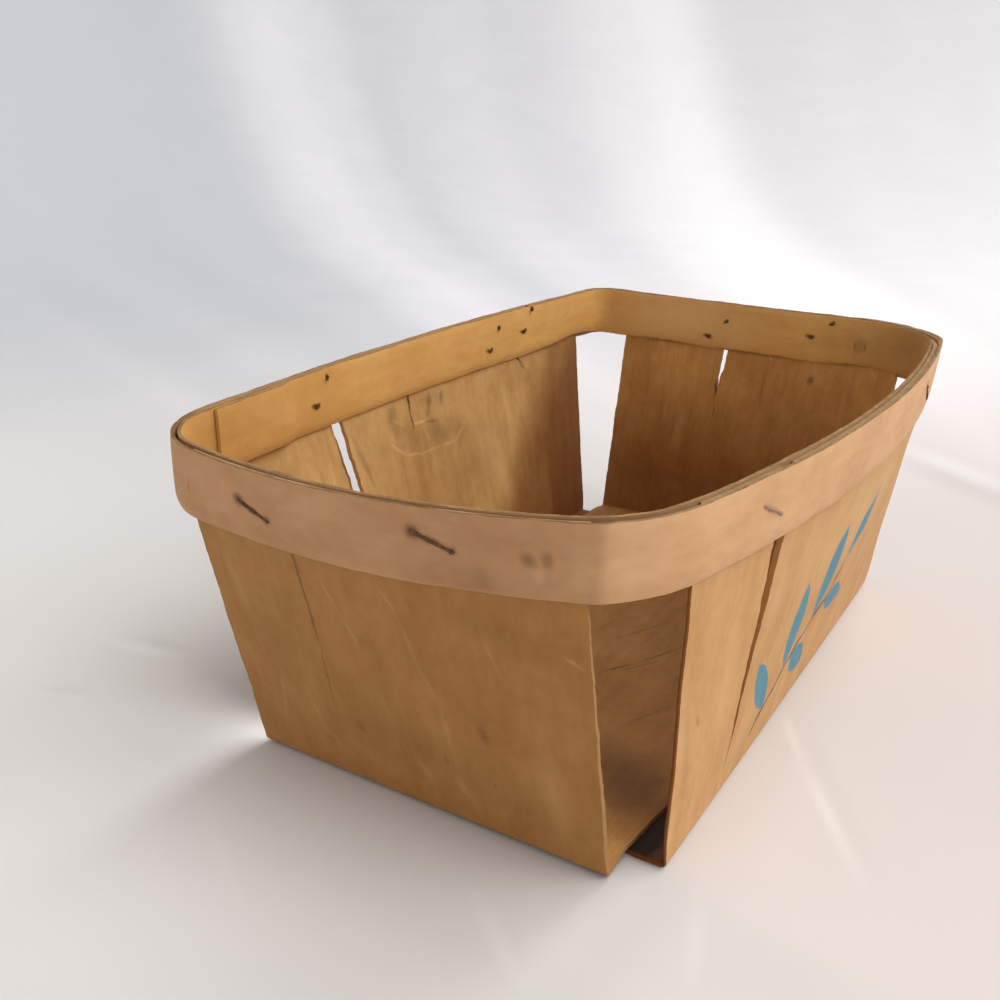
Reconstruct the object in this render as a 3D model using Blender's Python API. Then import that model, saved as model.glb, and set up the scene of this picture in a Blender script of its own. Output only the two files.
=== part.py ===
"""A four-quart berry basket of thin sliced wood: two crossed splints, two rim bands and wire staples.

Run it with blender --background --python part.py, or from Blender's text editor. Units are metres and +Z is
up. X runs across the basket and Y along it. The origin lies on the surface that the basket stands on, under
the middle of the box that holds it.
"""

import math

import bmesh
import bpy
import numpy as np
from mathutils import Matrix, Vector

# Whole basket
BASKET_HEIGHT = 0.108
CLEARANCE = 0.0003

# Splints: sheets of sliced wood, folded up at both ends
SPLINT_THICKNESS = 0.0016
FOLD_RADIUS = 0.0003
LENGTHWISE_WIDTH = 0.1230
CROSSWISE_WIDTH = 0.2180
# How far the folds of one splint lie outside the edges of the other
SIDE_FOLD_MARGIN = 0.0097
END_FOLD_MARGIN = 0.0124
# How far each splint lies off the middle of the floor
LENGTHWISE_SHIFT = -0.0021
CROSSWISE_SHIFT = 0.0016
# The lower splint was cut out of square, so its right fold is shorter than the rest and lies nearer the front
RIGHT_FOOT_SPREAD = -0.0084
RIGHT_FOOT_SHIFT = -0.0044
# How much wider each wall is at the rim than the sheet that it belongs to, because its slit has opened
FRONT_SPREAD = 0.0004
RIGHT_SPREAD = 0.0060
BACK_SPREAD = 0.0035
LEFT_SPREAD = 0.0045
# How far the middle of each wall's top lies off the middle of the floor
FRONT_TOP_SHIFT = -0.0044
RIGHT_TOP_SHIFT = -0.0008
BACK_TOP_SHIFT = 0.0029
LEFT_TOP_SHIFT = -0.0004
# The walls stop a little below the top of the bands, and lean in from just under them
WALL_TOP_DROP = 0.0008
BEND_BELOW_BAND = 0.0010
# The upper splint reaches past the lower one and sags there
OVERHANG_SAG = 0.0017
SAG_START = 0.0020

# Slits, split down the grain from the top of each wall
FRONT_SLIT_WIDTH = 0.0015
RIGHT_SLIT_WIDTH = 0.0056
BACK_SLIT_WIDTH = 0.0030
LEFT_SLIT_WIDTH = 0.0055
# Place of each slit across its wall, at the top and at its lower end, as shares of the half width there
FRONT_SLIT_SHARES = (-0.385, -0.4325)
RIGHT_SLIT_SHARES = (-0.618, -0.571)
BACK_SLIT_SHARES = (-0.234, -0.240)
LEFT_SLIT_SHARES = (-0.453, -0.400)
# Height of each slit's lower end, as a share of the wall under the band
FRONT_SLIT_END_SHARE = 0.25
RIGHT_SLIT_END_SHARE = 0.15
BACK_SLIT_END_SHARE = 0.79
LEFT_SLIT_END_SHARE = 0.16
# How a slit opens upwards: share of its height, share of its width at the band
SLIT_OPENING_SHARES = ((0.0, 0.0), (0.3, 0.45), (0.6, 0.78), (1.0, 1.0))
CUT_OVERRUN = 0.010

# Rim, seen from above: four corner points joined by sides that bow outwards
# How far the corner points lie outside the folds at the foot of the walls
SIDE_FLARE = 0.0086
END_FLARE = 0.0127
RIM_SHIFT = -0.0026
RIM_RACK = 0.0055
FRONT_SKEW = 0.0020
BACK_SKEW = 0.0006
FRONT_BOW = 0.0104
RIGHT_BOW = 0.0156
BACK_BOW = 0.0016
LEFT_BOW = 0.0087
FRONT_LEFT_RADIUS = 0.0240
FRONT_RIGHT_RADIUS = 0.0203
BACK_RIGHT_RADIUS = 0.0287
BACK_LEFT_RADIUS = 0.0118
# The rim is a little twisted, so opposite corners stand higher, and its ends dip in the middle
RIM_TWIST = 0.0017
TWIST_SHARES = (-1.0, 1.0, -0.5, 0.5)
FRONT_DIP = 0.0030
BACK_DIP = 0.0008

# Rim bands
BAND_HEIGHT = 0.0208
BAND_THICKNESS = 0.0013
# How far the bands' lower edge lies inside their upper edge, and near the front left corner outside it
BAND_FLARE = 0.0012
FRONT_LEFT_FLARE = -0.0008
OUTER_LAP_LENGTH = 0.038
INNER_LAP_LENGTH = 0.030
LAP_RAMP = 0.010
# Where the visible end of each lap lies, measured along the rim from the middle of its corner
OUTER_LAP_PAST_CORNER = 0.014
INNER_LAP_PAST_CORNER = 0.0241
# Round the front left corner, with no wall in between, the inner band lies this much closer to the outer one
HUG_DEPTH = 0.0013
HUG_REACH = 0.013

# Staples: bent wire, driven from outside
WIRE_DIAMETER = 0.0010
STAPLE_WIDTH = 0.0122
STAPLE_BEND = 0.0009
CLINCH_LENGTH = 0.0022
HOLE_OVERRUN = 0.0020
# Each staple: side, place along the side and up the band as shares of half its length and of the band's
# height, and how far its crown falls to the right, in degrees, seen from outside
STAPLE_SHARES = (
    ("front", -0.385, 0.470, 20),
    ("front", 0.338, 0.600, 18),
    ("right", -0.626, 0.512, 27),
    ("right", 0.535, 0.480, 33),
    ("back", 0.370, 0.690, 39),
    ("back", -0.235, 0.470, 45),
    ("left", 0.540, 0.730, 55),
    ("left", 0.360, 0.530, 53),
    ("left", -0.432, 0.640, 55),
)

# Fineness of the curves
POINTS_PER_SIDE = 28
POINTS_PER_CORNER = 8
SPLINT_COLUMNS = 18
WALL_ROWS = 7
BAND_ROWS = 2
STATION_GAP = 0.0015
FOLD_POINTS = 5
WIRE_BEND_POINTS = 4
HOLE_SIDES = 10
SMOOTH_ANGLE = math.radians(35)

SIDES = ("front", "right", "back", "left")
BOWS = (FRONT_BOW, RIGHT_BOW, BACK_BOW, LEFT_BOW)
DIPS = (FRONT_DIP, 0.0, BACK_DIP, 0.0)
CORNER_RADII = (FRONT_LEFT_RADIUS, FRONT_RIGHT_RADIUS, BACK_RIGHT_RADIUS, BACK_LEFT_RADIUS)
FLOOR_WIDTH = LENGTHWISE_WIDTH + 2 * SIDE_FOLD_MARGIN
FLOOR_LENGTH = CROSSWISE_WIDTH + 2 * END_FOLD_MARGIN
RIM_WIDTH = FLOOR_WIDTH + 2 * SIDE_FLARE
RIM_LENGTH = FLOOR_LENGTH + 2 * END_FLARE
# Depths from the outer band's outer face: the wall's outer face, the inner band's outer and inner faces
LAYER = BAND_THICKNESS + CLEARANCE
INNER_BAND_DEPTH = LAYER + SPLINT_THICKNESS + CLEARANCE
STACK = INNER_BAND_DEPTH + BAND_THICKNESS
BAND_BOTTOM = BASKET_HEIGHT - BAND_HEIGHT
# A cubic curve with handles this share of its chord lies within a hair of a circle's quarter
QUARTER_HANDLE_SHARE = 0.39


def clear_scene():
    for old in list(bpy.data.objects):
        bpy.data.objects.remove(old, do_unlink=True)


def wood(name, colour, roughness):
    material = bpy.data.materials.new(name)
    material.use_nodes = True
    shader = material.node_tree.nodes["Principled BSDF"]
    shader.inputs["Base Color"].default_value = (*colour, 1.0)
    shader.inputs["Roughness"].default_value = roughness
    return material


def wire_metal(name, colour, roughness):
    material = wood(name, colour, roughness)
    material.node_tree.nodes["Principled BSDF"].inputs["Metallic"].default_value = 1.0
    return material


def corner_points():
    """The rim's four corners, before they are rounded: front left, front right, back right, back left."""
    half_width = RIM_WIDTH / 2
    half_length = RIM_LENGTH / 2
    front = RIM_SHIFT - RIM_RACK
    back = RIM_SHIFT + RIM_RACK
    return np.array(
        [
            (front - half_width, -half_length - FRONT_SKEW),
            (front + half_width, -half_length + FRONT_SKEW),
            (back + half_width, half_length - BACK_SKEW),
            (back - half_width, half_length + BACK_SKEW),
        ]
    )


def side_points(side, shares):
    """Points of one bowed side, at shares of the way from its first corner to its second.

    The bow is a parabola that stands out most at the middle, and the dip lowers the rim the same way. Each
    point holds its place across and along, its lift and the bands' flare there.
    """
    corners = corner_points()
    start = corners[side]
    end = corners[(side + 1) % 4]
    along = end - start
    outward = np.array([along[1], -along[0]]) / np.linalg.norm(along)
    arch = 4 * shares * (1 - shares)
    plan = start + shares[:, None] * along + (BOWS[side] * arch)[:, None] * outward
    twist = RIM_TWIST * (
        TWIST_SHARES[side] * (1 - shares) + TWIST_SHARES[(side + 1) % 4] * shares
    )
    near_front_left = {0: 1 - shares, 3: shares}.get(side, 0 * shares) ** 3
    flare = BAND_FLARE + (FRONT_LEFT_FLARE - BAND_FLARE) * near_front_left
    return np.column_stack([plan, twist - DIPS[side] * arch, flare])


def corner_curve(before, after):
    """A cubic curve that rounds a corner between two short runs, each given by its last two points."""
    start = before[1]
    end = after[0]
    start_way = (before[1] - before[0]) / np.linalg.norm(before[1] - before[0])
    end_way = (after[1] - after[0]) / np.linalg.norm(after[1] - after[0])
    handle = QUARTER_HANDLE_SHARE * np.linalg.norm(end - start)
    t = np.linspace(0, 1, POINTS_PER_CORNER + 2)[1:-1, None]
    return (
        (1 - t) ** 3 * start
        + 3 * (1 - t) ** 2 * t * (start + handle * start_way)
        + 3 * (1 - t) * t**2 * (end - handle * end_way)
        + t**3 * end
    )


def rim_line():
    """The outermost line of the rim's top edge: its points, as side_points gives them, and outward ways."""
    corners = corner_points()
    lengths = np.linalg.norm(np.roll(corners, -1, axis=0) - corners, axis=1)
    runs = []
    for side in range(4):
        first = CORNER_RADII[side] / lengths[side]
        last = 1 - CORNER_RADII[(side + 1) % 4] / lengths[side]
        runs.append(side_points(side, np.linspace(first, last, POINTS_PER_SIDE)))
    points = []
    for side in range(4):
        points.append(runs[side])
        points.append(corner_curve(runs[side][-2:], runs[(side + 1) % 4][:2]))
    points = np.concatenate(points)
    along = np.roll(points, -1, axis=0)[:, :2] - np.roll(points, 1, axis=0)[:, :2]
    outward = np.column_stack([along[:, 1], -along[:, 0]])
    return points, outward / np.linalg.norm(outward, axis=1, keepdims=True)


RIM_POINTS, RIM_OUTWARD = rim_line()
STATIONS = len(RIM_POINTS)
PLAN_LOW = RIM_POINTS[:, :2].min(axis=0)
PLAN_HIGH = RIM_POINTS[:, :2].max(axis=0)
# The origin lies under the middle of the basket's box
TO_ORIGIN = -0.5 * np.append(PLAN_LOW + PLAN_HIGH, 0.0)


def rim_at(side, place):
    """The rim line's point and outward direction on one side, at a place along that side's own axis."""
    step = POINTS_PER_SIDE + POINTS_PER_CORNER
    first = side * step - POINTS_PER_CORNER // 2
    nearby = np.arange(first, first + step) % STATIONS
    axis = side % 2
    order = np.argsort(RIM_POINTS[nearby, axis])
    nearby = nearby[order]
    places = RIM_POINTS[nearby, axis]
    point = np.array([np.interp(place, places, RIM_POINTS[nearby, i]) for i in range(4)])
    outward = np.array([np.interp(place, places, RIM_OUTWARD[nearby, i]) for i in range(2)])
    return point, outward / np.linalg.norm(outward)


def rim_inset(point, outward, inset, above_bottom):
    """A point on a sheet in the rim: inset from the rim line, at a height above the bands' lower edge."""
    lean = point[3] * (1 - above_bottom / BAND_HEIGHT)
    plan = point[:2] - outward * (inset + lean)
    return np.array([plan[0], plan[1], BAND_BOTTOM + above_bottom + point[2]])


def fold_arc(apex, floor_way, wall_way):
    """The rounded outside of a fold, tangent to the floor before the apex and to the wall after it."""
    radius = FOLD_RADIUS + SPLINT_THICKNESS
    bend = math.acos(float(np.clip(floor_way @ wall_way, -1, 1)))
    reach = radius * math.tan(bend / 2)
    rise_way = wall_way - floor_way * (floor_way @ wall_way)
    rise_way = rise_way / np.linalg.norm(rise_way)
    turn = np.linspace(0, bend, FOLD_POINTS)[:, None]
    start = apex - reach * floor_way
    return start + radius * (np.sin(turn) * floor_way + (1 - np.cos(turn)) * rise_way), reach


def wall_profile(side, apex, floor_way, top_place):
    """One column of a wall's outer face, from the fold at its foot to its top inside the bands."""
    point, outward = rim_at(side, top_place)
    bend = rim_inset(point, outward, LAYER, -BEND_BELOW_BAND)
    climb = bend - apex
    upright = climb.copy()
    upright[side % 2] = 0.0
    arc, reach = fold_arc(apex, floor_way, upright / np.linalg.norm(upright))
    shares = np.linspace(reach / np.linalg.norm(upright), 1, WALL_ROWS + 1)[1:]
    lower = apex + upright * shares[:, None]
    lower[:, side % 2] += climb[side % 2] * shares
    heights = np.linspace(-BEND_BELOW_BAND, BAND_HEIGHT - WALL_TOP_DROP, BAND_ROWS + 1)[1:]
    upper = np.array([rim_inset(point, outward, LAYER, height) for height in heights])
    return np.concatenate([arc, lower, upper])


def splint(
    name, sides, half_floor, half_crossed, sheet, feet, spreads, top_shifts, floor_level, sag, material
):
    """A sheet folded up at both ends: columns across the sheet, rows along it, then its thickness.

    Each column runs from the top of the first wall down to the floor, across it and up the second wall. The
    columns lie closer together towards the edges, which reach into the rim's rounded corners. Past the part
    that crosses the other splint, the floor slopes down by its sag.
    """
    width, shift = sheet
    across = sides[0] % 2
    along = 1 - across
    columns = []
    for share in np.sin(np.linspace(-math.pi / 2, math.pi / 2, SPLINT_COLUMNS + 1)):
        halves = []
        for side, foot, spread, top_shift in zip(sides, feet, spreads, top_shifts):
            away = -1.0 if side in (0, 3) else 1.0
            knee = np.zeros(3)
            foot_spread, foot_shift = foot
            knee[across] = shift + foot_shift + share * (width + foot_spread) / 2
            knee[along] = away * half_crossed
            knee[2] = floor_level
            apex = knee.copy()
            apex[along] = away * half_floor
            apex[2] = floor_level - sag
            floor_way = (apex - knee) / np.linalg.norm(apex - knee)
            wall = wall_profile(side, apex, floor_way, top_shift + share * (width + spread) / 2)
            halves.append(np.concatenate([knee[None], wall]))
        columns.append(np.concatenate([halves[0][::-1], halves[1]]))
    return sheet_from_grid(name, np.array(columns) + TO_ORIGIN, material)


def sheet_from_grid(name, grid, material):
    """A mesh through a grid of points on the outer face, given its thickness inwards by Solidify."""
    columns, rows = grid.shape[:2]
    index = np.arange(columns * rows).reshape(columns, rows)
    faces = np.stack([index[:-1, :-1], index[:-1, 1:], index[1:, 1:], index[1:, :-1]], axis=-1)
    mesh = bpy.data.meshes.new(name)
    mesh.from_pydata(grid.reshape(-1, 3).tolist(), [], faces.reshape(-1, 4).tolist())
    mesh.materials.append(material)
    sheet = bpy.data.objects.new(name, mesh)
    bpy.context.scene.collection.objects.link(sheet)
    solidify = sheet.modifiers.new("thickness", "SOLIDIFY")
    solidify.thickness = SPLINT_THICKNESS
    solidify.offset = -1.0
    solidify.use_even_offset = True
    return sheet


def rim_distance():
    """The distance of each station along the rim line from the first one, and the whole way round."""
    places = RIM_POINTS[:, :3]
    steps = np.linalg.norm(np.roll(places, -1, axis=0) - places, axis=1)
    return np.concatenate([[0.0], np.cumsum(steps)[:-1]]), steps.sum()


def corner_distance(corner):
    """How far along the rim line the middle of a corner lies. Corner 0 is front left."""
    distance, _ = rim_distance()
    step = POINTS_PER_SIDE + POINTS_PER_CORNER
    station = (corner * step - POINTS_PER_CORNER // 2) % STATIONS
    return distance[station]


def rim_band(name, depth, hug, lap_step, lap_length, lap_end, way, material):
    """A strip bent once round the rim and over its own start.

    Its first end lies under the lap, and its last end shows at the distance lap_end. The way is 1 for a
    strip wound in the order of the stations, and -1 for one wound against it. Past a full turn the strip
    moves over by one layer, on a smooth ramp. The hug brings it closer to the rim line at one corner.
    """
    distance, whole = rim_distance()
    length = whole + lap_length
    start = lap_end - way * length
    passed = (way * (distance - start)) % whole
    walked = np.concatenate([[0.0], passed, passed + whole, [length]])
    walked = np.sort(walked[walked <= length])
    walked = walked[np.diff(walked, append=np.inf) >= STATION_GAP]
    place = start + way * walked
    points = np.column_stack(
        [np.interp(place, distance, RIM_POINTS[:, i], period=whole) for i in range(4)]
    )
    outward = np.column_stack(
        [np.interp(place, distance, RIM_OUTWARD[:, i], period=whole) for i in range(2)]
    )
    outward = outward / np.linalg.norm(outward, axis=1, keepdims=True)
    ramp = np.clip((walked - (whole - LAP_RAMP)) / LAP_RAMP, 0, 1)
    from_corner = (place - corner_distance(0) + whole / 2) % whole - whole / 2
    depths = depth + lap_step * ramp**2 * (3 - 2 * ramp) - hug * np.exp(-((from_corner / HUG_REACH) ** 4))
    rings = []
    for inset, height in (
        (0.0, BAND_HEIGHT),
        (0.0, 0.0),
        (BAND_THICKNESS, 0.0),
        (BAND_THICKNESS, BAND_HEIGHT),
    ):
        lean = points[:, 3] * (1 - height / BAND_HEIGHT)
        plan = points[:, :2] - outward * (depths + inset + lean)[:, None]
        rings.append(np.column_stack([plan, BAND_BOTTOM + height + points[:, 2]]))
    grid = np.stack(rings, axis=1) + TO_ORIGIN
    count = len(grid)
    index = np.arange(count * 4).reshape(count, 4)
    after = np.roll(index, -1, axis=1)
    faces = np.stack([index[:-1], after[:-1], after[1:], index[1:]], axis=-1).reshape(-1, 4)
    mesh = bpy.data.meshes.new(name)
    mesh.from_pydata(
        grid.reshape(-1, 3).tolist(),
        [],
        faces.tolist() + [index[0][::-1].tolist(), index[-1].tolist()],
    )
    mesh.materials.append(material)
    shape = bmesh.new()
    shape.from_mesh(mesh)
    bmesh.ops.recalc_face_normals(shape, faces=shape.faces)
    shape.to_mesh(mesh)
    shape.free()
    band = bpy.data.objects.new(name, mesh)
    bpy.context.scene.collection.objects.link(band)
    return band


def slit_cutter(name, side, width, spread, shift, top_shift, slit_width, places, end_share):
    """A tapered wedge that splits one wall from its top down to the slit's lower end."""
    lower_end = BAND_BOTTOM * end_share
    middle_share = end_share + (1 - end_share) * np.array([h for h, _ in SLIT_OPENING_SHARES])
    opening = slit_width / 2 * np.array([w for _, w in SLIT_OPENING_SHARES])
    half_width = width / 2 + spread / 2 * middle_share
    across_share = places[1] + (places[0] - places[1]) * (middle_share - end_share) / (1 - end_share)
    middle = shift + (top_shift - shift) * middle_share + half_width * across_share
    height = BAND_BOTTOM * middle_share
    height[0] = lower_end
    top = BASKET_HEIGHT + CUT_OVERRUN
    left = list(zip(middle - opening, height)) + [(middle[-1] - opening[-1], top)]
    right = list(zip(middle[1:] + opening[1:], height[1:])) + [(middle[-1] + opening[-1], top)]
    outline = left + right[::-1]
    inner = (FLOOR_LENGTH if side % 2 == 0 else FLOOR_WIDTH) / 2 - CUT_OVERRUN
    outer = (RIM_LENGTH if side % 2 == 0 else RIM_WIDTH) / 2 + BOWS[side] + RIM_RACK + CUT_OVERRUN
    away = -1.0 if side in (0, 3) else 1.0
    shape = bmesh.new()
    rings = []
    for reach in (inner, outer):
        ring = []
        for across, up in outline:
            place = (across, away * reach, up) if side % 2 == 0 else (away * reach, across, up)
            ring.append(shape.verts.new(Vector(place) + Vector(TO_ORIGIN)))
        rings.append(ring)
    shape.faces.new(rings[0])
    shape.faces.new(rings[1][::-1])
    for first, second, third, fourth in zip(
        rings[0], rings[0][1:] + rings[0][:1], rings[1][1:] + rings[1][:1], rings[1]
    ):
        shape.faces.new((first, fourth, third, second))
    bmesh.ops.recalc_face_normals(shape, faces=shape.faces)
    return helper_from(shape, name)


def helper_from(shape, name):
    mesh = bpy.data.meshes.new(name)
    shape.to_mesh(mesh)
    shape.free()
    helper = bpy.data.objects.new(name, mesh)
    bpy.context.scene.collection.objects.link(helper)
    helper.hide_render = True
    helper.display_type = "WIRE"
    return helper


def staple_frame(side_name, along_share, height_share, fall):
    """Where a staple's crown is centred on the outer band, its direction, and the band's outward normal."""
    side = SIDES.index(side_name)
    corners = corner_points()
    start = corners[side]
    end = corners[(side + 1) % 4]
    axis = side % 2
    middle = (start[axis] + end[axis]) / 2
    half = abs(end[axis] - start[axis]) / 2
    point, outward = rim_at(side, middle + along_share * half)
    centre = rim_inset(point, outward, 0.0, BAND_HEIGHT * height_share) + TO_ORIGIN
    tilt = math.atan2(point[3], BAND_HEIGHT)
    normal = Vector((outward[0] * math.cos(tilt), outward[1] * math.cos(tilt), -math.sin(tilt)))
    level = Vector((0, 0, 1)).cross(normal).normalized()
    crown = Matrix.Rotation(-math.radians(fall), 3, normal) @ level
    return Vector(centre), crown, normal


def staple_path():
    """Half of a staple's wire, in its own plane: distance from the middle, and height above the band.

    It runs from the middle of the crown round the shoulder, down the leg and round to the clinched tip.
    """
    half = STAPLE_WIDTH / 2
    above = CLEARANCE + WIRE_DIAMETER / 2
    below = -STACK - above
    turn = np.linspace(0, math.pi / 2, WIRE_BEND_POINTS)
    shoulder = [
        (half - STAPLE_BEND + STAPLE_BEND * math.sin(t), above - STAPLE_BEND + STAPLE_BEND * math.cos(t))
        for t in turn
    ]
    clinch = [
        (half - STAPLE_BEND + STAPLE_BEND * math.cos(t), below + STAPLE_BEND - STAPLE_BEND * math.sin(t))
        for t in turn
    ]
    return shoulder + clinch + [(half - STAPLE_BEND - CLINCH_LENGTH, below)]


def staple(name, frame, material):
    centre, crown, normal = frame
    half = staple_path()
    whole = [(-across, up) for across, up in half[::-1]] + half
    curve = bpy.data.curves.new(name, "CURVE")
    curve.dimensions = "3D"
    curve.bevel_depth = WIRE_DIAMETER / 2
    curve.bevel_resolution = 2
    curve.use_fill_caps = True
    spline = curve.splines.new("POLY")
    spline.points.add(len(whole) - 1)
    for point, (across, up) in zip(spline.points, whole):
        point.co = (*(centre + crown * across + normal * up), 1.0)
    curve.materials.append(material)
    wire = bpy.data.objects.new(name, curve)
    bpy.context.scene.collection.objects.link(wire)
    return wire


def leg_holes(name, frames):
    """One cutter with a round rod for each staple leg, longer than the three layers are thick."""
    shape = bmesh.new()
    depth = STACK + 2 * HOLE_OVERRUN
    for centre, crown, normal in frames:
        for away in (-1, 1):
            middle = centre + crown * (away * STAPLE_WIDTH / 2) - normal * (depth / 2 - HOLE_OVERRUN)
            turn = Vector((0, 0, 1)).rotation_difference(normal).to_matrix().to_4x4()
            bmesh.ops.create_cone(
                shape,
                cap_ends=True,
                segments=HOLE_SIDES,
                radius1=WIRE_DIAMETER / 2 + CLEARANCE,
                radius2=WIRE_DIAMETER / 2 + CLEARANCE,
                depth=depth,
                matrix=Matrix.Translation(middle) @ turn,
            )
    return helper_from(shape, name)


def cut(target, cutter):
    boolean = target.modifiers.new(cutter.name, "BOOLEAN")
    boolean.operation = "DIFFERENCE"
    boolean.solver = "EXACT"
    boolean.object = cutter


def smooth(target):
    target.data.shade_smooth()
    target.data.set_sharp_from_angle(angle=SMOOTH_ANGLE)


def build():
    clear_scene()
    golden_wood = wood("golden_wood", (0.50, 0.29, 0.11), 0.62)
    pale_wood = wood("pale_wood", (0.56, 0.35, 0.16), 0.62)
    band_wood = wood("band_wood", (0.54, 0.35, 0.18), 0.60)
    rusty_wire = wire_metal("rusty_wire", (0.20, 0.13, 0.09), 0.55)

    lengthwise = splint(
        "lengthwise_splint",
        (0, 2),
        FLOOR_LENGTH / 2,
        CROSSWISE_WIDTH / 2 + abs(CROSSWISE_SHIFT) + SAG_START,
        (LENGTHWISE_WIDTH, LENGTHWISE_SHIFT),
        ((0.0, 0.0), (0.0, 0.0)),
        (FRONT_SPREAD, BACK_SPREAD),
        (FRONT_TOP_SHIFT, BACK_TOP_SHIFT),
        SPLINT_THICKNESS + CLEARANCE,
        OVERHANG_SAG,
        golden_wood,
    )
    crosswise = splint(
        "crosswise_splint",
        (1, 3),
        FLOOR_WIDTH / 2,
        LENGTHWISE_WIDTH / 2,
        (CROSSWISE_WIDTH, CROSSWISE_SHIFT),
        ((RIGHT_FOOT_SPREAD, RIGHT_FOOT_SHIFT), (0.0, 0.0)),
        (RIGHT_SPREAD, LEFT_SPREAD),
        (RIGHT_TOP_SHIFT, LEFT_TOP_SHIFT),
        0.0,
        0.0,
        pale_wood,
    )
    outer_band = rim_band(
        "outer_rim_band", 0.0, 0.0, -LAYER, OUTER_LAP_LENGTH,
        corner_distance(2) - OUTER_LAP_PAST_CORNER, -1, band_wood,
    )
    inner_band = rim_band(
        "inner_rim_band", INNER_BAND_DEPTH, HUG_DEPTH, LAYER, INNER_LAP_LENGTH,
        corner_distance(0) - INNER_LAP_PAST_CORNER, 1, band_wood,
    )

    slits = (
        (lengthwise, 0, LENGTHWISE_WIDTH, FRONT_SPREAD, LENGTHWISE_SHIFT, FRONT_TOP_SHIFT,
         FRONT_SLIT_WIDTH, FRONT_SLIT_SHARES, FRONT_SLIT_END_SHARE),
        (crosswise, 1, CROSSWISE_WIDTH + RIGHT_FOOT_SPREAD, RIGHT_SPREAD - RIGHT_FOOT_SPREAD,
         CROSSWISE_SHIFT + RIGHT_FOOT_SHIFT, RIGHT_TOP_SHIFT,
         RIGHT_SLIT_WIDTH, RIGHT_SLIT_SHARES, RIGHT_SLIT_END_SHARE),
        (lengthwise, 2, LENGTHWISE_WIDTH, BACK_SPREAD, LENGTHWISE_SHIFT, BACK_TOP_SHIFT,
         BACK_SLIT_WIDTH, BACK_SLIT_SHARES, BACK_SLIT_END_SHARE),
        (crosswise, 3, CROSSWISE_WIDTH, LEFT_SPREAD, CROSSWISE_SHIFT, LEFT_TOP_SHIFT,
         LEFT_SLIT_WIDTH, LEFT_SLIT_SHARES, LEFT_SLIT_END_SHARE),
    )
    for sheet, side, *sizes in slits:
        cut(sheet, slit_cutter(f"{SIDES[side]}_slit", side, *sizes))

    frames = [staple_frame(*place) for place in STAPLE_SHARES]
    holes = leg_holes("leg_holes", frames)
    for piece in (lengthwise, crosswise, outer_band, inner_band):
        cut(piece, holes)
        smooth(piece)
    for number, frame in enumerate(frames, 1):
        staple(f"rim_staple_{number}", frame, rusty_wire)


build()
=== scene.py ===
"""A berry basket of thin sliced wood: the looks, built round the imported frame."""

import math

import bpy
import numpy as np
from mathutils import Matrix, Vector


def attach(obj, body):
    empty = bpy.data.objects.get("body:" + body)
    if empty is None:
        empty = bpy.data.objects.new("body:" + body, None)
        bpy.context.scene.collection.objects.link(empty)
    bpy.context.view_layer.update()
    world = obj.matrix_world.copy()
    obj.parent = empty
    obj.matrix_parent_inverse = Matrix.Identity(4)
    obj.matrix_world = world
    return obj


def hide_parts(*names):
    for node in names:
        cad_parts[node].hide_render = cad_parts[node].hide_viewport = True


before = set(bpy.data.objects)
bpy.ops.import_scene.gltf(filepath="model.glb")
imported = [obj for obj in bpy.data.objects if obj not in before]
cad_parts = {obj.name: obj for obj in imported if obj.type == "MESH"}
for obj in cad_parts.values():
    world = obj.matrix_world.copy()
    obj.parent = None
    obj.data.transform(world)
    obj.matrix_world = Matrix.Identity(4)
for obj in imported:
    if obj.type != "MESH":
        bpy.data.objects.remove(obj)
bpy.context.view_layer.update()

# The view. The basket is seen from in front of its right corner and from above its rim, by a lens a little
# wider than normal held close to it.
VIEW_AZIMUTH = math.radians(31.83)
VIEW_ELEVATION = math.radians(21.26)
VIEW_ROLL = math.radians(0.14)
VIEW_PLACE = (0.1552, -0.3274, 0.1991)
LENS_MM = 38.24
SENSOR_MM = 36.0


def view_axes(azimuth, elevation, roll):
    """The camera's right, up and back ways: back points from the basket to the camera, then both others roll."""
    back = Vector((
        math.sin(azimuth) * math.cos(elevation),
        -math.cos(azimuth) * math.cos(elevation),
        math.sin(elevation),
    ))
    level = Vector((0, 0, 1)).cross(back).normalized()
    upright = back.cross(level)
    right = level * math.cos(roll) + upright * math.sin(roll)
    return right, back.cross(right), back


camera_data = bpy.data.cameras.new("view")
camera_data.lens = LENS_MM
camera_data.sensor_width = SENSOR_MM
camera_data.clip_start = 0.01
camera = bpy.data.objects.new("view", camera_data)
camera.matrix_world = Matrix(view_axes(VIEW_AZIMUTH, VIEW_ELEVATION, VIEW_ROLL)).transposed().to_4x4()
camera.location = VIEW_PLACE
bpy.context.scene.collection.objects.link(camera)
bpy.context.scene.camera = camera
bpy.context.scene.view_settings.view_transform = "Standard"

# The cloth and the light. A wide pale sheet lies under the basket and rises far behind it on all sides, with
# a few soft folds. A large window to the right gives most of the light and the pale room fills in the rest.
CLOTH_HALF = 3.0
CLOTH_NEAR_HALF = 0.45
CLOTH_BELOW = 0.0003
CLOTH_RISE_FROM = 1.0
CLOTH_RISE = 1.5
ROOM_LIGHT = 0.36
WINDOW_LIGHT = 4.75
WINDOW_AZIMUTH = math.radians(37)
WINDOW_ELEVATION = math.radians(40)
WINDOW_SPREAD = math.radians(80)


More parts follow.
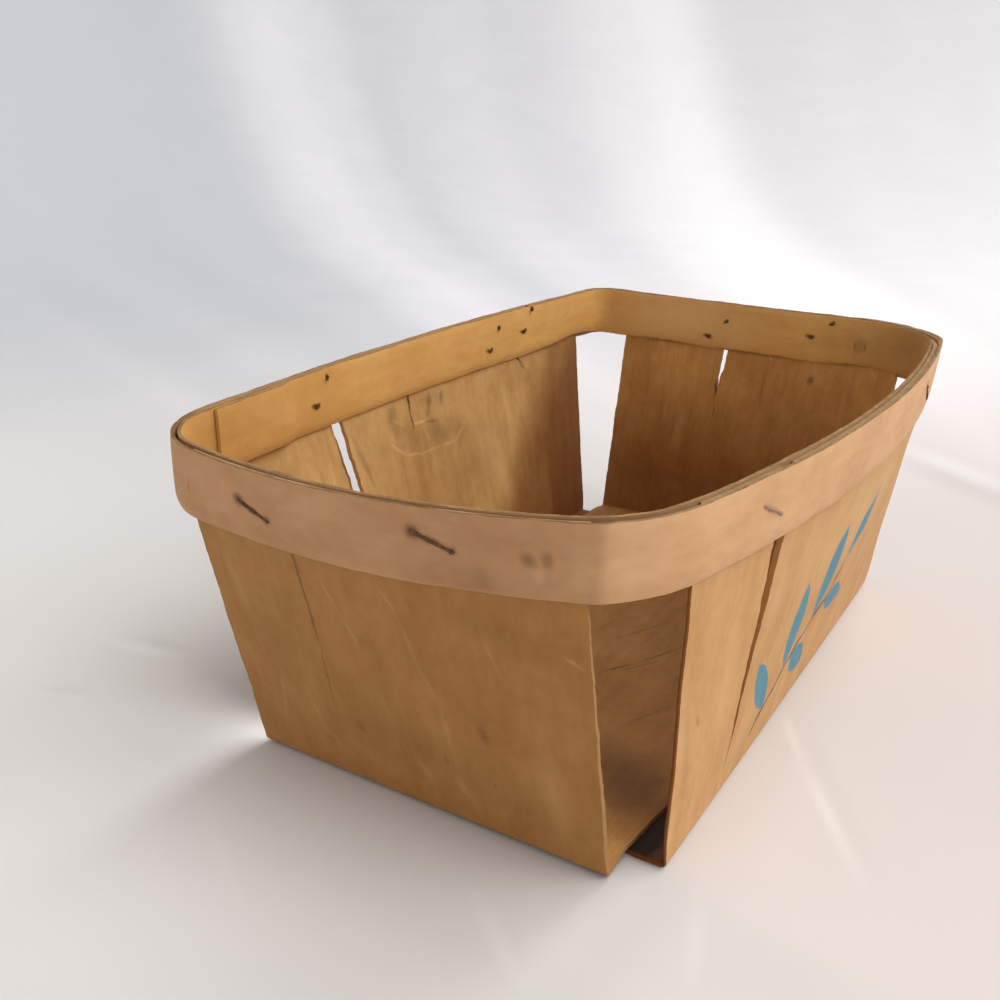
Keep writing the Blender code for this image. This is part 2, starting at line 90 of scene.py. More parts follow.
def cloth_height(x, y):
    """The cloth's height: low ridges, each a soft crest along a line, that fade out under the basket.

    Past a distance from the basket the whole sheet rises by the square of the way.
    """
    height = np.zeros_like(x)
    for angle, offset, width, rise in (
        (0.55, 0.23, 0.030, 0.0022),
        (-0.65, 0.36, 0.045, 0.0030),
        (1.25, -0.34, 0.040, 0.0026),
        (0.15, -0.42, 0.050, 0.0030),
        (-0.25, 0.55, 0.060, 0.0060),
    ):
        across = x * math.cos(angle) + y * math.sin(angle) - offset
        height += rise * np.exp(-((across / width) ** 2))
    clear = np.clip((np.maximum(np.abs(x) / 0.13, np.abs(y) / 0.18) - 1) / 0.6, 0, 1)
    reach = np.clip(np.hypot(x, y) - CLOTH_RISE_FROM, 0, None) / (CLOTH_HALF - CLOTH_RISE_FROM)
    return height * clear**2 * (3 - 2 * clear) - CLOTH_BELOW + CLOTH_RISE * reach**2


def grid_faces(rows, columns):
    """Corner numbers of the quads of a grid whose points are numbered along its rows."""
    index = np.arange(rows * columns).reshape(rows, columns)
    return np.stack([index[:-1, :-1], index[1:, :-1], index[1:, 1:], index[:-1, 1:]], axis=-1).reshape(-1, 4)


def mesh_object(name, points, quads, materials, places=None, slots=None, values=None):
    """A smooth-shaded mesh of quads, with its pattern places as a UV map and named values at its points."""
    mesh = bpy.data.meshes.new(name)
    mesh.vertices.add(len(points))
    mesh.vertices.foreach_set("co", np.ascontiguousarray(points, dtype=np.float32).ravel())
    mesh.loops.add(quads.size)
    mesh.loops.foreach_set("vertex_index", quads.ravel().astype(np.int32))
    mesh.polygons.add(len(quads))
    mesh.polygons.foreach_set("loop_start", np.arange(0, quads.size, 4, dtype=np.int32))
    if slots is not None:
        mesh.polygons.foreach_set("material_index", slots.astype(np.int32))
    if places is not None:
        layer = mesh.uv_layers.new(name="grain")
        layer.data.foreach_set("uv", places[quads.ravel()].astype(np.float32).ravel())
    for key, value in (values or {}).items():
        attribute = mesh.attributes.new(key, "FLOAT", "POINT")
        attribute.data.foreach_set("value", np.ascontiguousarray(value, dtype=np.float32))
    for material in materials:
        mesh.materials.append(material)
    mesh.update(calc_edges=True)
    mesh.validate()
    mesh.shade_smooth()
    piece = bpy.data.objects.new(name, mesh)
    bpy.context.scene.collection.objects.link(piece)
    return piece


def node(tree, kind, **settings):
    """A shader node with some of its properties set."""
    made = tree.nodes.new(kind)
    for key, value in settings.items():
        setattr(made, key, value)
    return made


def blend(tree, share, first, second, mode="MIX"):
    """Two colours mixed by a share. Each of the three may be a socket or a value."""
    made = node(tree, "ShaderNodeMix", data_type="RGBA", blend_type=mode)
    for slot, value in ((0, share), (6, first), (7, second)):
        if isinstance(value, bpy.types.NodeSocket):
            tree.links.new(value, made.inputs[slot])
        else:
            made.inputs[slot].default_value = value
    return made.outputs[2]


def number(tree, operation, first, second=None, clamp=False):
    """One sum on two numbers, each a socket or a value."""
    made = node(tree, "ShaderNodeMath", operation=operation, use_clamp=clamp)
    for slot, value in enumerate((first, second)):
        if isinstance(value, bpy.types.NodeSocket):
            tree.links.new(value, made.inputs[slot])
        elif value is not None:
            made.inputs[slot].default_value = value
    return made.outputs[0]


def vector(tree, operation, first, second):
    """One sum on two vectors, each a socket or a value. A dot product or a length comes out as a number."""
    made = node(tree, "ShaderNodeVectorMath", operation=operation)
    for slot, value in enumerate((first, second)):
        if isinstance(value, bpy.types.NodeSocket):
            tree.links.new(value, made.inputs[slot])
        else:
            made.inputs[slot].default_value = value
    return made.outputs[1 if operation in ("DOT_PRODUCT", "LENGTH") else 0]


def spread(tree, value, low, high, to_low=0.0, to_high=1.0):
    """A number stretched from one range to another, with soft ends."""
    made = node(tree, "ShaderNodeMapRange", interpolation_type="SMOOTHSTEP")
    for key, level in (("From Min", low), ("From Max", high), ("To Min", to_low), ("To Max", to_high)):
        made.inputs[key].default_value = level
    tree.links.new(value, made.inputs["Value"])
    return made.outputs["Result"]


def scaled_noise(tree, place, size, detail, roughness=0.55, distortion=0.0):
    """A noise whose cells have the given size. With two sizes it is flat: the place's third part is left out."""
    noise = node(tree, "ShaderNodeTexNoise", noise_dimensions="3D" if len(size) == 3 else "2D")
    noise.inputs["Scale"].default_value = 1.0
    noise.inputs["Detail"].default_value = detail
    noise.inputs["Roughness"].default_value = roughness
    noise.inputs["Distortion"].default_value = distortion
    scale = (1 / size[0], 1 / size[1], 1 / size[-1])
    tree.links.new(vector(tree, "MULTIPLY", place, scale), noise.inputs["Vector"])
    return noise.outputs["Fac"]


def group_socket(group, name, kind, way, value=None):
    """One named input or output of a node group."""
    socket = group.interface.new_socket(name=name, in_out=way, socket_type=kind)
    if value is not None:
        socket.default_value = value
    return socket


def soft_mark_group():
    """A soft-edged oval added to a total: full in its middle, fading to nothing at its rim.

    The oval is given by two ways, along it and across it, each divided by the oval's half size that way, and
    by its middle measured along both.
    """
    group = bpy.data.node_groups.new("soft_mark", "ShaderNodeTree")
    for name in ("Place", "Along", "Across"):
        group_socket(group, name, "NodeSocketVector", "INPUT")
    for name in ("Middle Along", "Middle Across", "Strength", "Total"):
        group_socket(group, name, "NodeSocketFloat", "INPUT", 0.0)
    group_socket(group, "Total", "NodeSocketFloat", "OUTPUT")
    given = node(group, "NodeGroupInput").outputs
    result = node(group, "NodeGroupOutput")
    along = number(group, "SUBTRACT", vector(group, "DOT_PRODUCT", given[0], given[1]), given[3])
    across = number(group, "SUBTRACT", vector(group, "DOT_PRODUCT", given[0], given[2]), given[4])
    near = number(group, "SUBTRACT", 1.0, number(group, "MULTIPLY", along, along))
    near = number(group, "SUBTRACT", near, number(group, "MULTIPLY", across, across), clamp=True)
    shade = number(group, "MULTIPLY", number(group, "MULTIPLY", near, near), given[5])
    group.links.new(number(group, "ADD", shade, given[6], clamp=True), result.inputs["Total"])
    return group


SOFT_MARK = soft_mark_group()


def marked(tree, place, marks):
    """The sum of soft marks, each given by its two ends, its half width and its strength."""
    total = None
    for start, end, half_width, strength in marks:
        middle = (Vector(start) + Vector(end)) / 2
        half = (Vector(end) - Vector(start)) / 2
        half_length = 1.2 * (half.length + half_width)
        along = (half.normalized() if half.length > 0 else Vector((1, 0))) / half_length
        across = Vector((-along.y, along.x)).normalized() / (1.2 * half_width)
        mark = node(tree, "ShaderNodeGroup", node_tree=SOFT_MARK)
        mark.inputs["Along"].default_value = (*along, 0)
        mark.inputs["Across"].default_value = (*across, 0)
        mark.inputs["Middle Along"].default_value = middle @ along
        mark.inputs["Middle Across"].default_value = middle @ across
        mark.inputs["Strength"].default_value = strength
        tree.links.new(place, mark.inputs["Place"])
        if total is not None:
            tree.links.new(total, mark.inputs["Total"])
        total = mark.outputs["Total"]
    return total


def cloth_material():
    """White cloth, warmer near the basket, with light and shade painted into its colour.

    It is painted brighter towards the window's side and shaded in soft broad folds and crumples.
    """
    material = bpy.data.materials.new("white_cloth")
    material.use_nodes = True
    tree = material.node_tree
    shader = tree.nodes["Principled BSDF"]
    shader.inputs["Roughness"].default_value = 0.9
    shader.inputs["Specular IOR Level"].default_value = 0.1
    where = node(tree, "ShaderNodeTexCoord").outputs["Object"]
    beside = vector(tree, "DOT_PRODUCT", where, (math.cos(VIEW_AZIMUTH), math.sin(VIEW_AZIMUTH), 0))
    beyond = vector(tree, "DOT_PRODUCT", where, (-math.sin(VIEW_AZIMUTH), math.cos(VIEW_AZIMUTH), 0))
    depth = number(tree, "MAXIMUM", number(tree, "ADD", beyond, CLOTH_DEPTH), CLOTH_DEPTH / 3)
    lean = number(tree, "DIVIDE", beside, depth)
    nearness = number(tree, "DIVIDE", 1.0, depth)
    slant = node(tree, "ShaderNodeCombineXYZ")
    tree.links.new(number(tree, "SUBTRACT", lean, number(tree, "MULTIPLY", nearness, 0.31)), slant.inputs["X"])
    tree.links.new(nearness, slant.inputs["Y"])
    # Painted shading of soft folds and crumples: they move the share between the dim and the bright colours.
    fold_shading = scaled_noise(tree, slant.outputs[0], (0.26, 4.0), 2.0, 0.5, 0.2)
    crumple_shading = scaled_noise(tree, where, (0.10, 0.07, 0.1), 3.0, 0.5, 0.5)
    lean = number(tree, "ADD", lean, number(tree, "MULTIPLY", spread(tree, fold_shading, 0.3, 0.7, -0.5, 0.5), 0.30))
    lean = number(tree, "ADD", lean, number(tree, "MULTIPLY", spread(tree, crumple_shading, 0.3, 0.7, -0.5, 0.5), 0.03))
    near = blend(tree, spread(tree, lean, -0.50, 0.55), CLOTH_NEAR_DIM, CLOTH_NEAR_BRIGHT)
    far = blend(tree, spread(tree, lean, -0.50, 0.55), CLOTH_FAR_DIM, CLOTH_FAR_BRIGHT)
    colour = blend(tree, spread(tree, beyond, 0.0, 0.7), near, far)
    from_patch = vector(tree, "LENGTH", vector(tree, "SUBTRACT", where, PAINTED_LIGHT_PATCH), (0, 0, 0))
    colour = blend(tree, spread(tree, from_patch, 0.01, 0.11, 0.8, 0.0), colour, (0.82, 0.79, 0.77, 1.0))
    colour = blend(tree, marked(tree, where, CLOTH_SHADED_CREASES), colour, (0.30, 0.29, 0.29, 1.0))
    colour = blend(tree, marked(tree, where, CLOTH_CREASE_HIGHLIGHTS), colour, (0.95, 0.94, 0.93, 1.0))
    tree.links.new(colour, shader.inputs["Base Color"])
    return material


CLOTH_DEPTH = 0.42
# Painted highlights along the cloth's creases.
CLOTH_CREASE_HIGHLIGHTS = (
    ((0.074, -0.012), (0.085, -0.033), 0.0024, 0.20),
    ((0.085, -0.033), (0.117, -0.081), 0.0030, 0.20),
    ((0.040, 0.312), (0.115, 0.250), 0.012, 0.35),
    ((-0.162, -0.100), (-0.130, -0.094), 0.0040, 0.12),
    ((0.028, -0.137), (0.057, -0.160), 0.0034, 0.10),
    ((0.083, -0.111), (0.092, -0.140), 0.0034, 0.10),
    ((-0.060, -0.150), (-0.020, -0.175), 0.0034, 0.08),
)
# Painted shade along the cloth's creases.
CLOTH_SHADED_CREASES = (
    ((0.079, -0.010), (0.121, -0.078), 0.0040, 0.06),
    ((0.055, 0.280), (0.125, 0.232), 0.016, 0.14),
    ((-0.160, -0.092), (-0.132, -0.088), 0.0040, 0.12),
    ((-0.155, -0.135), (-0.140, -0.128), 0.0030, 0.12),
)
# Painted light: a pale patch that thins the basket's shadow on the cloth to its front left.
PAINTED_LIGHT_PATCH = (-0.050, -0.168, 0.0)
# Painted light: the cloth's colours are dimmer away from the window's side and brighter towards it.
CLOTH_NEAR_DIM = (0.62, 0.60, 0.58, 1.0)
CLOTH_NEAR_BRIGHT = (0.70, 0.64, 0.61, 1.0)
CLOTH_FAR_DIM = (0.465, 0.475, 0.505, 1.0)
CLOTH_FAR_BRIGHT = (0.99, 0.95, 0.95, 1.0)
steps = np.linspace(-1, 1, 161)
lines = CLOTH_NEAR_HALF * steps + (CLOTH_HALF - CLOTH_NEAR_HALF) * steps**7
cloth_x, cloth_y = np.meshgrid(lines, lines, indexing="ij")
cloth_points = np.stack([cloth_x, cloth_y, cloth_height(cloth_x, cloth_y)], axis=-1).reshape(-1, 3)
cloth = mesh_object("cloth", cloth_points, grid_faces(len(lines), len(lines)), [cloth_material()])

room = bpy.data.worlds.new("room")
room.use_nodes = True
bpy.context.scene.world = room
room_tree = room.node_tree
room_light = room_tree.nodes["Background"]
room_light.inputs["Color"].default_value = (0.98, 0.985, 1.0, 1.0)
room_light.inputs["Strength"].default_value = ROOM_LIGHT
seen = node(room_tree, "ShaderNodeBackground")
seen.inputs["Color"].default_value = (0.80, 0.80, 0.82, 1.0)
pick = node(room_tree, "ShaderNodeMixShader")
ray = node(room_tree, "ShaderNodeLightPath")
room_tree.links.new(ray.outputs["Is Camera Ray"], pick.inputs["Fac"])
room_tree.links.new(room_light.outputs["Background"], pick.inputs[1])
room_tree.links.new(seen.outputs["Background"], pick.inputs[2])
room_tree.links.new(pick.outputs["Shader"], room_tree.nodes["World Output"].inputs["Surface"])

window_data = bpy.data.lights.new("window", "SUN")
window_data.energy = WINDOW_LIGHT
window_data.angle = WINDOW_SPREAD
window = bpy.data.objects.new("window", window_data)
window.matrix_world = Matrix(view_axes(WINDOW_AZIMUTH + math.pi / 2, WINDOW_ELEVATION, 0)).transposed().to_4x4()
bpy.context.scene.collection.objects.link(window)

# The rim's line. Bands and wall tops all follow one line, seen from above four corner points that are
# joined by bowed sides and rounded, a little racked and twisted as a light basket gets in use.
SPLINT_THICKNESS = 0.0016
LENGTHWISE_WIDTH = 0.1230
CROSSWISE_WIDTH = 0.2180
SIDE_FOLD_MARGIN = 0.0097
END_FOLD_MARGIN = 0.0124
FLOOR_WIDTH = LENGTHWISE_WIDTH + 2 * SIDE_FOLD_MARGIN
FLOOR_LENGTH = CROSSWISE_WIDTH + 2 * END_FOLD_MARGIN
RIM_WIDTH = FLOOR_WIDTH + 2 * 0.0086
RIM_LENGTH = FLOOR_LENGTH + 2 * 0.0127
RIM_SHIFT = -0.0026
RIM_RACK = 0.0055
FRONT_SKEW = 0.0020
BACK_SKEW = 0.0006
BOWS = (0.0104, 0.0156, 0.0016, 0.0087)
DIPS = (0.0030, 0.0, 0.0008, 0.0)
CORNER_RADII = (0.0240, 0.0203, 0.0380, 0.0118)
RIM_TWIST = 0.0017
TWIST_SHARES = (-1.0, 1.0, -0.5, 0.5)
BASKET_HEIGHT = 0.108
BAND_HEIGHT = 0.0208
BAND_THICKNESS = 0.0013
BAND_FLARE = 0.0012
FRONT_LEFT_FLARE = -0.0008
BACK_RIGHT_FLARE = 0.0026
CLEARANCE = 0.0003
BAND_BOTTOM = BASKET_HEIGHT - BAND_HEIGHT
LAYER = BAND_THICKNESS + CLEARANCE
QUARTER_HANDLE_SHARE = 0.39
SIDE_STATIONS = 160
CORNER_STATIONS = 40


def rim_side(side, shares):
    """Places on one side, at shares of the way along it: straight, plus a parabola that bows it outwards.

    The columns are x, y, the lift from the twist and the dip, and the flare of the bands there.
    """
    front = RIM_SHIFT - RIM_RACK
    back = RIM_SHIFT + RIM_RACK
    corners = np.array([
        (front - RIM_WIDTH / 2, -RIM_LENGTH / 2 - FRONT_SKEW),
        (front + RIM_WIDTH / 2, -RIM_LENGTH / 2 + FRONT_SKEW),
        (back + RIM_WIDTH / 2, RIM_LENGTH / 2 - BACK_SKEW),
        (back - RIM_WIDTH / 2, RIM_LENGTH / 2 + BACK_SKEW),
    ])
    start = corners[side]
    along = corners[(side + 1) % 4] - start
    outward = np.array([along[1], -along[0]]) / np.linalg.norm(along)
    arch = 4 * shares * (1 - shares)
    plan = start + shares[:, None] * along + (BOWS[side] * arch)[:, None] * outward
    twist = RIM_TWIST * (TWIST_SHARES[side] * (1 - shares) + TWIST_SHARES[(side + 1) % 4] * shares)
    near_front_left = {0: 1 - shares, 3: shares}.get(side, 0 * shares) ** 3
    near_back_right = {1: shares, 2: 1 - shares}.get(side, 0 * shares) ** 4
    flare = BAND_FLARE + (FRONT_LEFT_FLARE - BAND_FLARE) * near_front_left
    flare = flare + (BACK_RIGHT_FLARE - BAND_FLARE) * near_back_right
    return np.column_stack([plan, twist - DIPS[side] * arch, flare])


def rim_corner(before, after):
    """A rounded corner between two sides: a cubic curve that leaves and arrives along them."""
    start = before[-1]
    end = after[0]
    start_way = (before[-1] - before[-2]) / np.linalg.norm(before[-1] - before[-2])
    end_way = (after[1] - after[0]) / np.linalg.norm(after[1] - after[0])
    handle = QUARTER_HANDLE_SHARE * np.linalg.norm(end - start)
    t = np.linspace(0, 1, CORNER_STATIONS + 2)[1:-1, None]
    return (
        (1 - t) ** 3 * start
        + 3 * (1 - t) ** 2 * t * (start + handle * start_way)
        + 3 * (1 - t) * t**2 * (end - handle * end_way)
        + t**3 * end
    )


def rim_stations():
    """All stations round the rim, their outward ways and their distances along it from the first."""
    lengths = (RIM_WIDTH, RIM_LENGTH, RIM_WIDTH, RIM_LENGTH)
    runs = []
    for side in range(4):
        first = CORNER_RADII[side] / lengths[side]
        last = 1 - CORNER_RADII[(side + 1) % 4] / lengths[side]
        runs.append(rim_side(side, np.linspace(first, last, SIDE_STATIONS)))
    places = np.concatenate(
        [part for side in range(4) for part in (runs[side], rim_corner(runs[side], runs[(side + 1) % 4]))]
    )
    along = np.roll(places, -1, axis=0)[:, :2] - np.roll(places, 1, axis=0)[:, :2]
    outward = np.column_stack([along[:, 1], -along[:, 0]])
    outward = outward / np.linalg.norm(outward, axis=1, keepdims=True)
    steps = np.linalg.norm(np.roll(places, -1, axis=0)[:, :3] - places[:, :3], axis=1)
    return places, outward, np.concatenate([[0.0], np.cumsum(steps)[:-1]]), steps.sum()


RIM_PLACES, RIM_OUTWARD, RIM_TRAVEL, RIM_ROUND = rim_stations()
TO_ORIGIN = -0.5 * np.append(RIM_PLACES[:, :2].min(axis=0) + RIM_PLACES[:, :2].max(axis=0), 0.0)


def rim_beside(side, places):
    """The rim's line at places along one side's own axis: its columns, outward ways and distances along it."""
    step = SIDE_STATIONS + CORNER_STATIONS
    index = np.arange(side * step - CORNER_STATIONS // 2, (side + 1) * step - CORNER_STATIONS // 2)
    turns = np.floor_divide(index, len(RIM_PLACES))
    index = index % len(RIM_PLACES)
    known = RIM_PLACES[index, side % 2]
    order = np.argsort(known)
    table = np.column_stack([RIM_PLACES, RIM_OUTWARD, RIM_TRAVEL])[index] + np.outer(turns, [0] * 6 + [RIM_ROUND])
    found = np.column_stack([np.interp(places, known[order], table[order, i]) for i in range(7)])
    ways = found[:, 4:6] / np.linalg.norm(found[:, 4:6], axis=1, keepdims=True)
    return found[:, :4], ways, found[:, 6]


def behind_rim(line, ways, depth, heights):
    """Points behind the rim's line, by a depth, at heights above the bands' lower edge: [line, height, xyz]."""
    lean = line[:, 3:4] * (1 - heights / BAND_HEIGHT)
    plan = line[:, None, :2] - ways[:, None, :] * (depth + lean)[..., None]
    level = BAND_BOTTOM + heights + line[:, 2:3]
    return np.concatenate([plan, level[..., None]], axis=-1)


def wobble(where, seed, longest, shortest, count=7):
    """A smooth uneven line of about unit height: sines of random phase, from long waves to short ones."""
    chance = np.random.default_rng(seed)
    lengths = longest * (shortest / longest) ** np.linspace(0, 1, count)
    phases = chance.uniform(0, 2 * math.pi, count)
    heights = chance.uniform(0.5, 1.0, count) * (lengths / longest) ** 0.35
    waves = heights * np.sin(2 * math.pi * np.asarray(where)[..., None] / lengths + phases)
    return waves.sum(axis=-1) / np.sqrt((heights**2).sum())


# The sliced wood. Every sheet is cut from a turning log as a thin ribbon, so it shows long fibres, soft
# streaks, short dark pores and a mottle, and the years have browned it unevenly and marked it. Shade is
# painted into it as well, darkest in corners, crevices and recesses.
FIBRE_SIZE = (0.00060, 0.030)
STREAK_SIZE = (0.0050, 0.090)
PORE_SIZE = (0.00040, 0.0040)
MOTTLE_SIZE = (0.016, 0.026)
FLECK_SIZE = (0.0030, 0.0060)
GRAIN_WARP = 0.0035
GRAIN_WARP_SIZE = 0.030
MARK_WARP = 0.0010
MARK_WARP_SIZE = 0.0030
# Painted shade: the tint that the sheets' painted shade mixes into the wood.
PAINTED_SHADE_TINT = (0.33, 0.19, 0.10, 1.0)


def warped(tree, place, size, amount):
    """A place moved a little this way and that across the sheet, by a noise of the given size."""
    noise = node(tree, "ShaderNodeTexNoise", noise_dimensions="2D")
    noise.inputs["Scale"].default_value = 1 / size
    noise.inputs["Detail"].default_value = 1.0
    tree.links.new(place, noise.inputs["Vector"])
    shift = vector(tree, "SUBTRACT", noise.outputs["Color"], (0.5, 0.5, 0.5))
    return vector(tree, "ADD", place, vector(tree, "MULTIPLY", shift, (amount, amount, 0)))


def sliced_wood_group():
    """Grain, streaks, pores and mottle from a place in metres: x across the grain, y along it."""
    group = bpy.data.node_groups.new("sliced_wood", "ShaderNodeTree")
    group_socket(group, "Place", "NodeSocketVector", "INPUT")
    group_socket(group, "Pale", "NodeSocketColor", "INPUT", (0.6, 0.4, 0.2, 1))
    group_socket(group, "Dark", "NodeSocketColor", "INPUT", (0.4, 0.2, 0.1, 1))
    for name in ("Fibre", "Streak", "Mottle", "Fleck", "Pores"):
        group_socket(group, name, "NodeSocketFloat", "INPUT", 0.5)
    group_socket(group, "Colour", "NodeSocketColor", "OUTPUT")
    group_socket(group, "Roughness", "NodeSocketFloat", "OUTPUT")
    group_socket(group, "Height", "NodeSocketFloat", "OUTPUT")
    given = node(group, "NodeGroupInput")
    result = node(group, "NodeGroupOutput")
    place = warped(group, given.outputs["Place"], GRAIN_WARP_SIZE, GRAIN_WARP)
    fibre = spread(group, scaled_noise(group, place, FIBRE_SIZE, 3.0, 0.6), 0.30, 0.70, -0.5, 0.5)
    streak = scaled_noise(group, place, STREAK_SIZE, 3.0, 0.5)
    streak = spread(group, streak, 0.32, 0.68, -0.5, 0.5)
    mottle = spread(group, scaled_noise(group, place, MOTTLE_SIZE, 3.0, 0.6), 0.30, 0.70, -0.5, 0.5)
    fleck = spread(group, scaled_noise(group, place, FLECK_SIZE, 3.0, 0.6), 0.30, 0.70, -0.5, 0.5)
    pores = spread(group, scaled_noise(group, place, PORE_SIZE, 1.0, 0.5), 0.66, 0.80)
    tone = number(group, "MULTIPLY", fibre, given.outputs["Fibre"])
    for value, name in ((streak, "Streak"), (mottle, "Mottle"), (fleck, "Fleck")):
        tone = number(group, "ADD", tone, number(group, "MULTIPLY", value, given.outputs[name]))
    tone = number(group, "ADD", tone, 0.5, clamp=True)
    pore = number(group, "MULTIPLY", pores, given.outputs["Pores"])
    colour = blend(group, tone, given.outputs["Dark"], given.outputs["Pale"])
    colour = blend(group, pore, colour, (0.12, 0.055, 0.02, 1.0))
    group.links.new(colour, result.inputs["Colour"])
    group.links.new(number(group, "ADD", number(group, "MULTIPLY", fibre, 0.16), 0.66), result.inputs["Roughness"])
    relief = number(group, "MULTIPLY", fibre, given.outputs["Fibre"])
    group.links.new(number(group, "SUBTRACT", relief, pore), result.inputs["Height"])
    return group


SLICED_WOOD = sliced_wood_group()


def wood_material(name, lot, outside, inside, relief, marks, paint=None):
    """Sliced wood whose faces each have colours, grain strengths and marks, darkened by the painted shade at the mesh's
    points.

    A face's look is its pale colour, its dark one and the strengths of fibre, streak, mottle, fleck and
    pores. The marks are lists by name: dark and pale ones, on the outer face and the inner. Some dark ones
    are painted shade and some pale ones painted light. The lot number shifts the pattern, so that no two
    sheets share it. The paint, if any, is a function that lays it on.
    """
    material = bpy.data.materials.new(name)
    material.use_nodes = True
    tree = material.node_tree
    shader = tree.nodes["Principled BSDF"]
    shader.inputs["Specular IOR Level"].default_value = 0.22
    layer = node(tree, "ShaderNodeUVMap", uv_map="grain").outputs["UV"]
    is_inside = node(tree, "ShaderNodeAttribute", attribute_name="inside").outputs["Fac"]
    painted_shade_and_tone = node(tree, "ShaderNodeAttribute", attribute_name="painted_shade_and_tone").outputs["Fac"]
    lift = node(tree, "ShaderNodeCombineXYZ")
    tree.links.new(number(tree, "ADD", number(tree, "MULTIPLY", is_inside, 2.9), lot), lift.inputs["X"])
    place = vector(tree, "ADD", layer, lift.outputs[0])
    wood = node(tree, "ShaderNodeGroup", node_tree=SLICED_WOOD)
    tree.links.new(place, wood.inputs["Place"])
    tree.links.new(blend(tree, is_inside, outside[0], inside[0]), wood.inputs["Pale"])
    tree.links.new(blend(tree, is_inside, outside[1], inside[1]), wood.inputs["Dark"])
    for key, outer_value, inner_value in zip(
        ("Fibre", "Streak", "Mottle", "Fleck", "Pores"), outside[2:], inside[2:]
    ):
        value = node(tree, "ShaderNodeMapRange")
        value.inputs["To Min"].default_value = outer_value
        value.inputs["To Max"].default_value = inner_value
        tree.links.new(is_inside, value.inputs["Value"])
        tree.links.new(value.outputs["Result"], wood.inputs[key])
    rough_place = warped(tree, layer, MARK_WARP_SIZE, MARK_WARP)
    colour = wood.outputs["Colour"]
    colour = blend(tree, painted_shade_and_tone, colour, PAINTED_SHADE_TINT, "MULTIPLY")
    is_outside = number(tree, "SUBTRACT", 1.0, is_inside)
    for key, face, tint in (
        ("pale outside", is_outside, (0.78, 0.50, 0.24, 1.0)),
        ("pale inside", is_inside, (0.76, 0.50, 0.23, 1.0)),
        ("dark outside", is_outside, (0.085, 0.035, 0.018, 1.0)),
        ("dark inside", is_inside, (0.024, 0.010, 0.003, 1.0)),
    ):
        total = marked(tree, rough_place, marks.get(key, ()))
        if total is not None:
            colour = blend(tree, number(tree, "MULTIPLY", total, face), colour, tint)
    if paint is not None:
        colour = paint(tree, layer, colour, is_outside)
    bump = node(tree, "ShaderNodeBump")
    bump.inputs["Distance"].default_value = relief
    tree.links.new(wood.outputs["Height"], bump.inputs["Height"])
    tree.links.new(colour, shader.inputs["Base Color"])
    tree.links.new(wood.outputs["Roughness"], shader.inputs["Roughness"])
    tree.links.new(bump.outputs["Normal"], shader.inputs["Normal"])
    return material


def sheet_object(name, face, back, places, materials, inside, values=None, parted=()):
    """A thin sheet from its two faces, points in one grid each, closed along its outline.

    The outward side is the way of the first axis crossed with the second. A parted pair of columns, given
    with the rows where it is open, has no quads between them, and is one column where it is shut.
    """
    rows, columns = face.shape[:2]
    index = np.arange(rows * columns).reshape(rows, columns)
    for column, open_rows in parted:
        index[~open_rows, column + 1] = index[~open_rows, column]
    cells = np.stack([index[:-1, :-1], index[1:, :-1], index[1:, 1:], index[:-1, 1:]], axis=-1)
    keep = np.ones(columns - 1, bool)
    keep[[column for column, _ in parted]] = False
    outer = cells[:, keep].reshape(-1, 4)
    count = rows * columns
    edges = np.concatenate([outer[:, [i, (i + 1) % 4]] for i in range(4)])
    free = ~np.isin(edges[:, 0] * count + edges[:, 1], edges[:, 1] * count + edges[:, 0])
    rim = edges[free]
    inner = outer[:, ::-1] + count
    sides = np.column_stack([rim[:, 1], rim[:, 0], rim[:, 0] + count, rim[:, 1] + count])
    quads = np.concatenate([outer, inner, sides])
    slots = np.concatenate([np.zeros(len(outer) + len(inner), int), np.ones(len(sides), int)])
    used, quads = np.unique(quads, return_inverse=True)
    points = np.concatenate([face.reshape(-1, 3), back.reshape(-1, 3)])[used]
    flat = np.concatenate([places.reshape(-1, 2)] * 2)[used]
    point_values = {"inside": np.concatenate([np.full(count, inside[0]), np.full(count, inside[1])])[used]}
    for key in ("painted_shade_and_tone",):
        outer_value, inner_value = (values or {}).get(key, (0.0, 0.0))
        both = [np.broadcast_to(value, (rows, columns)).ravel() for value in (outer_value, inner_value)]
        point_values[key] = np.concatenate(both)[used]
    piece = mesh_object(name, points, quads.reshape(-1, 4), materials, flat, slots, point_values)
    piece.data.set_sharp_from_angle(angle=math.radians(50))
    return piece


def outward_normals(grid):
    """The unit way out of a grid: its first axis crossed with its second."""
    normals = np.cross(np.gradient(grid, axis=0), np.gradient(grid, axis=1))
    return normals / np.linalg.norm(normals, axis=-1, keepdims=True)


# The two splints. Each is one sheet, folded up at both ends after steaming, with the grain running down its
# walls. The crosswise one is the lower: it makes the right wall, the floor's underside and the left wall.
FOLD_RADIUS = 0.0003
WALL_TOP_DROP = 0.0008
BEND_BELOW_BAND = 0.0010
OVERHANG_SAG = 0.0017
SAG_START = 0.0020
CROSSWISE_SHIFT = 0.0016
LENGTHWISE_SHIFT = -0.0021
EDGE_WEAR = 0.00013
RIPPLE = 0.00022
SLIT_PULL_REACH = 0.014
LIP_WEAR = 0.00025
LIP_WEAR_REACH = 0.002
ARC_ROWS = 7
WALL_ROWS = 66
BAND_ROWS = 10
FLOOR_ROWS = 70


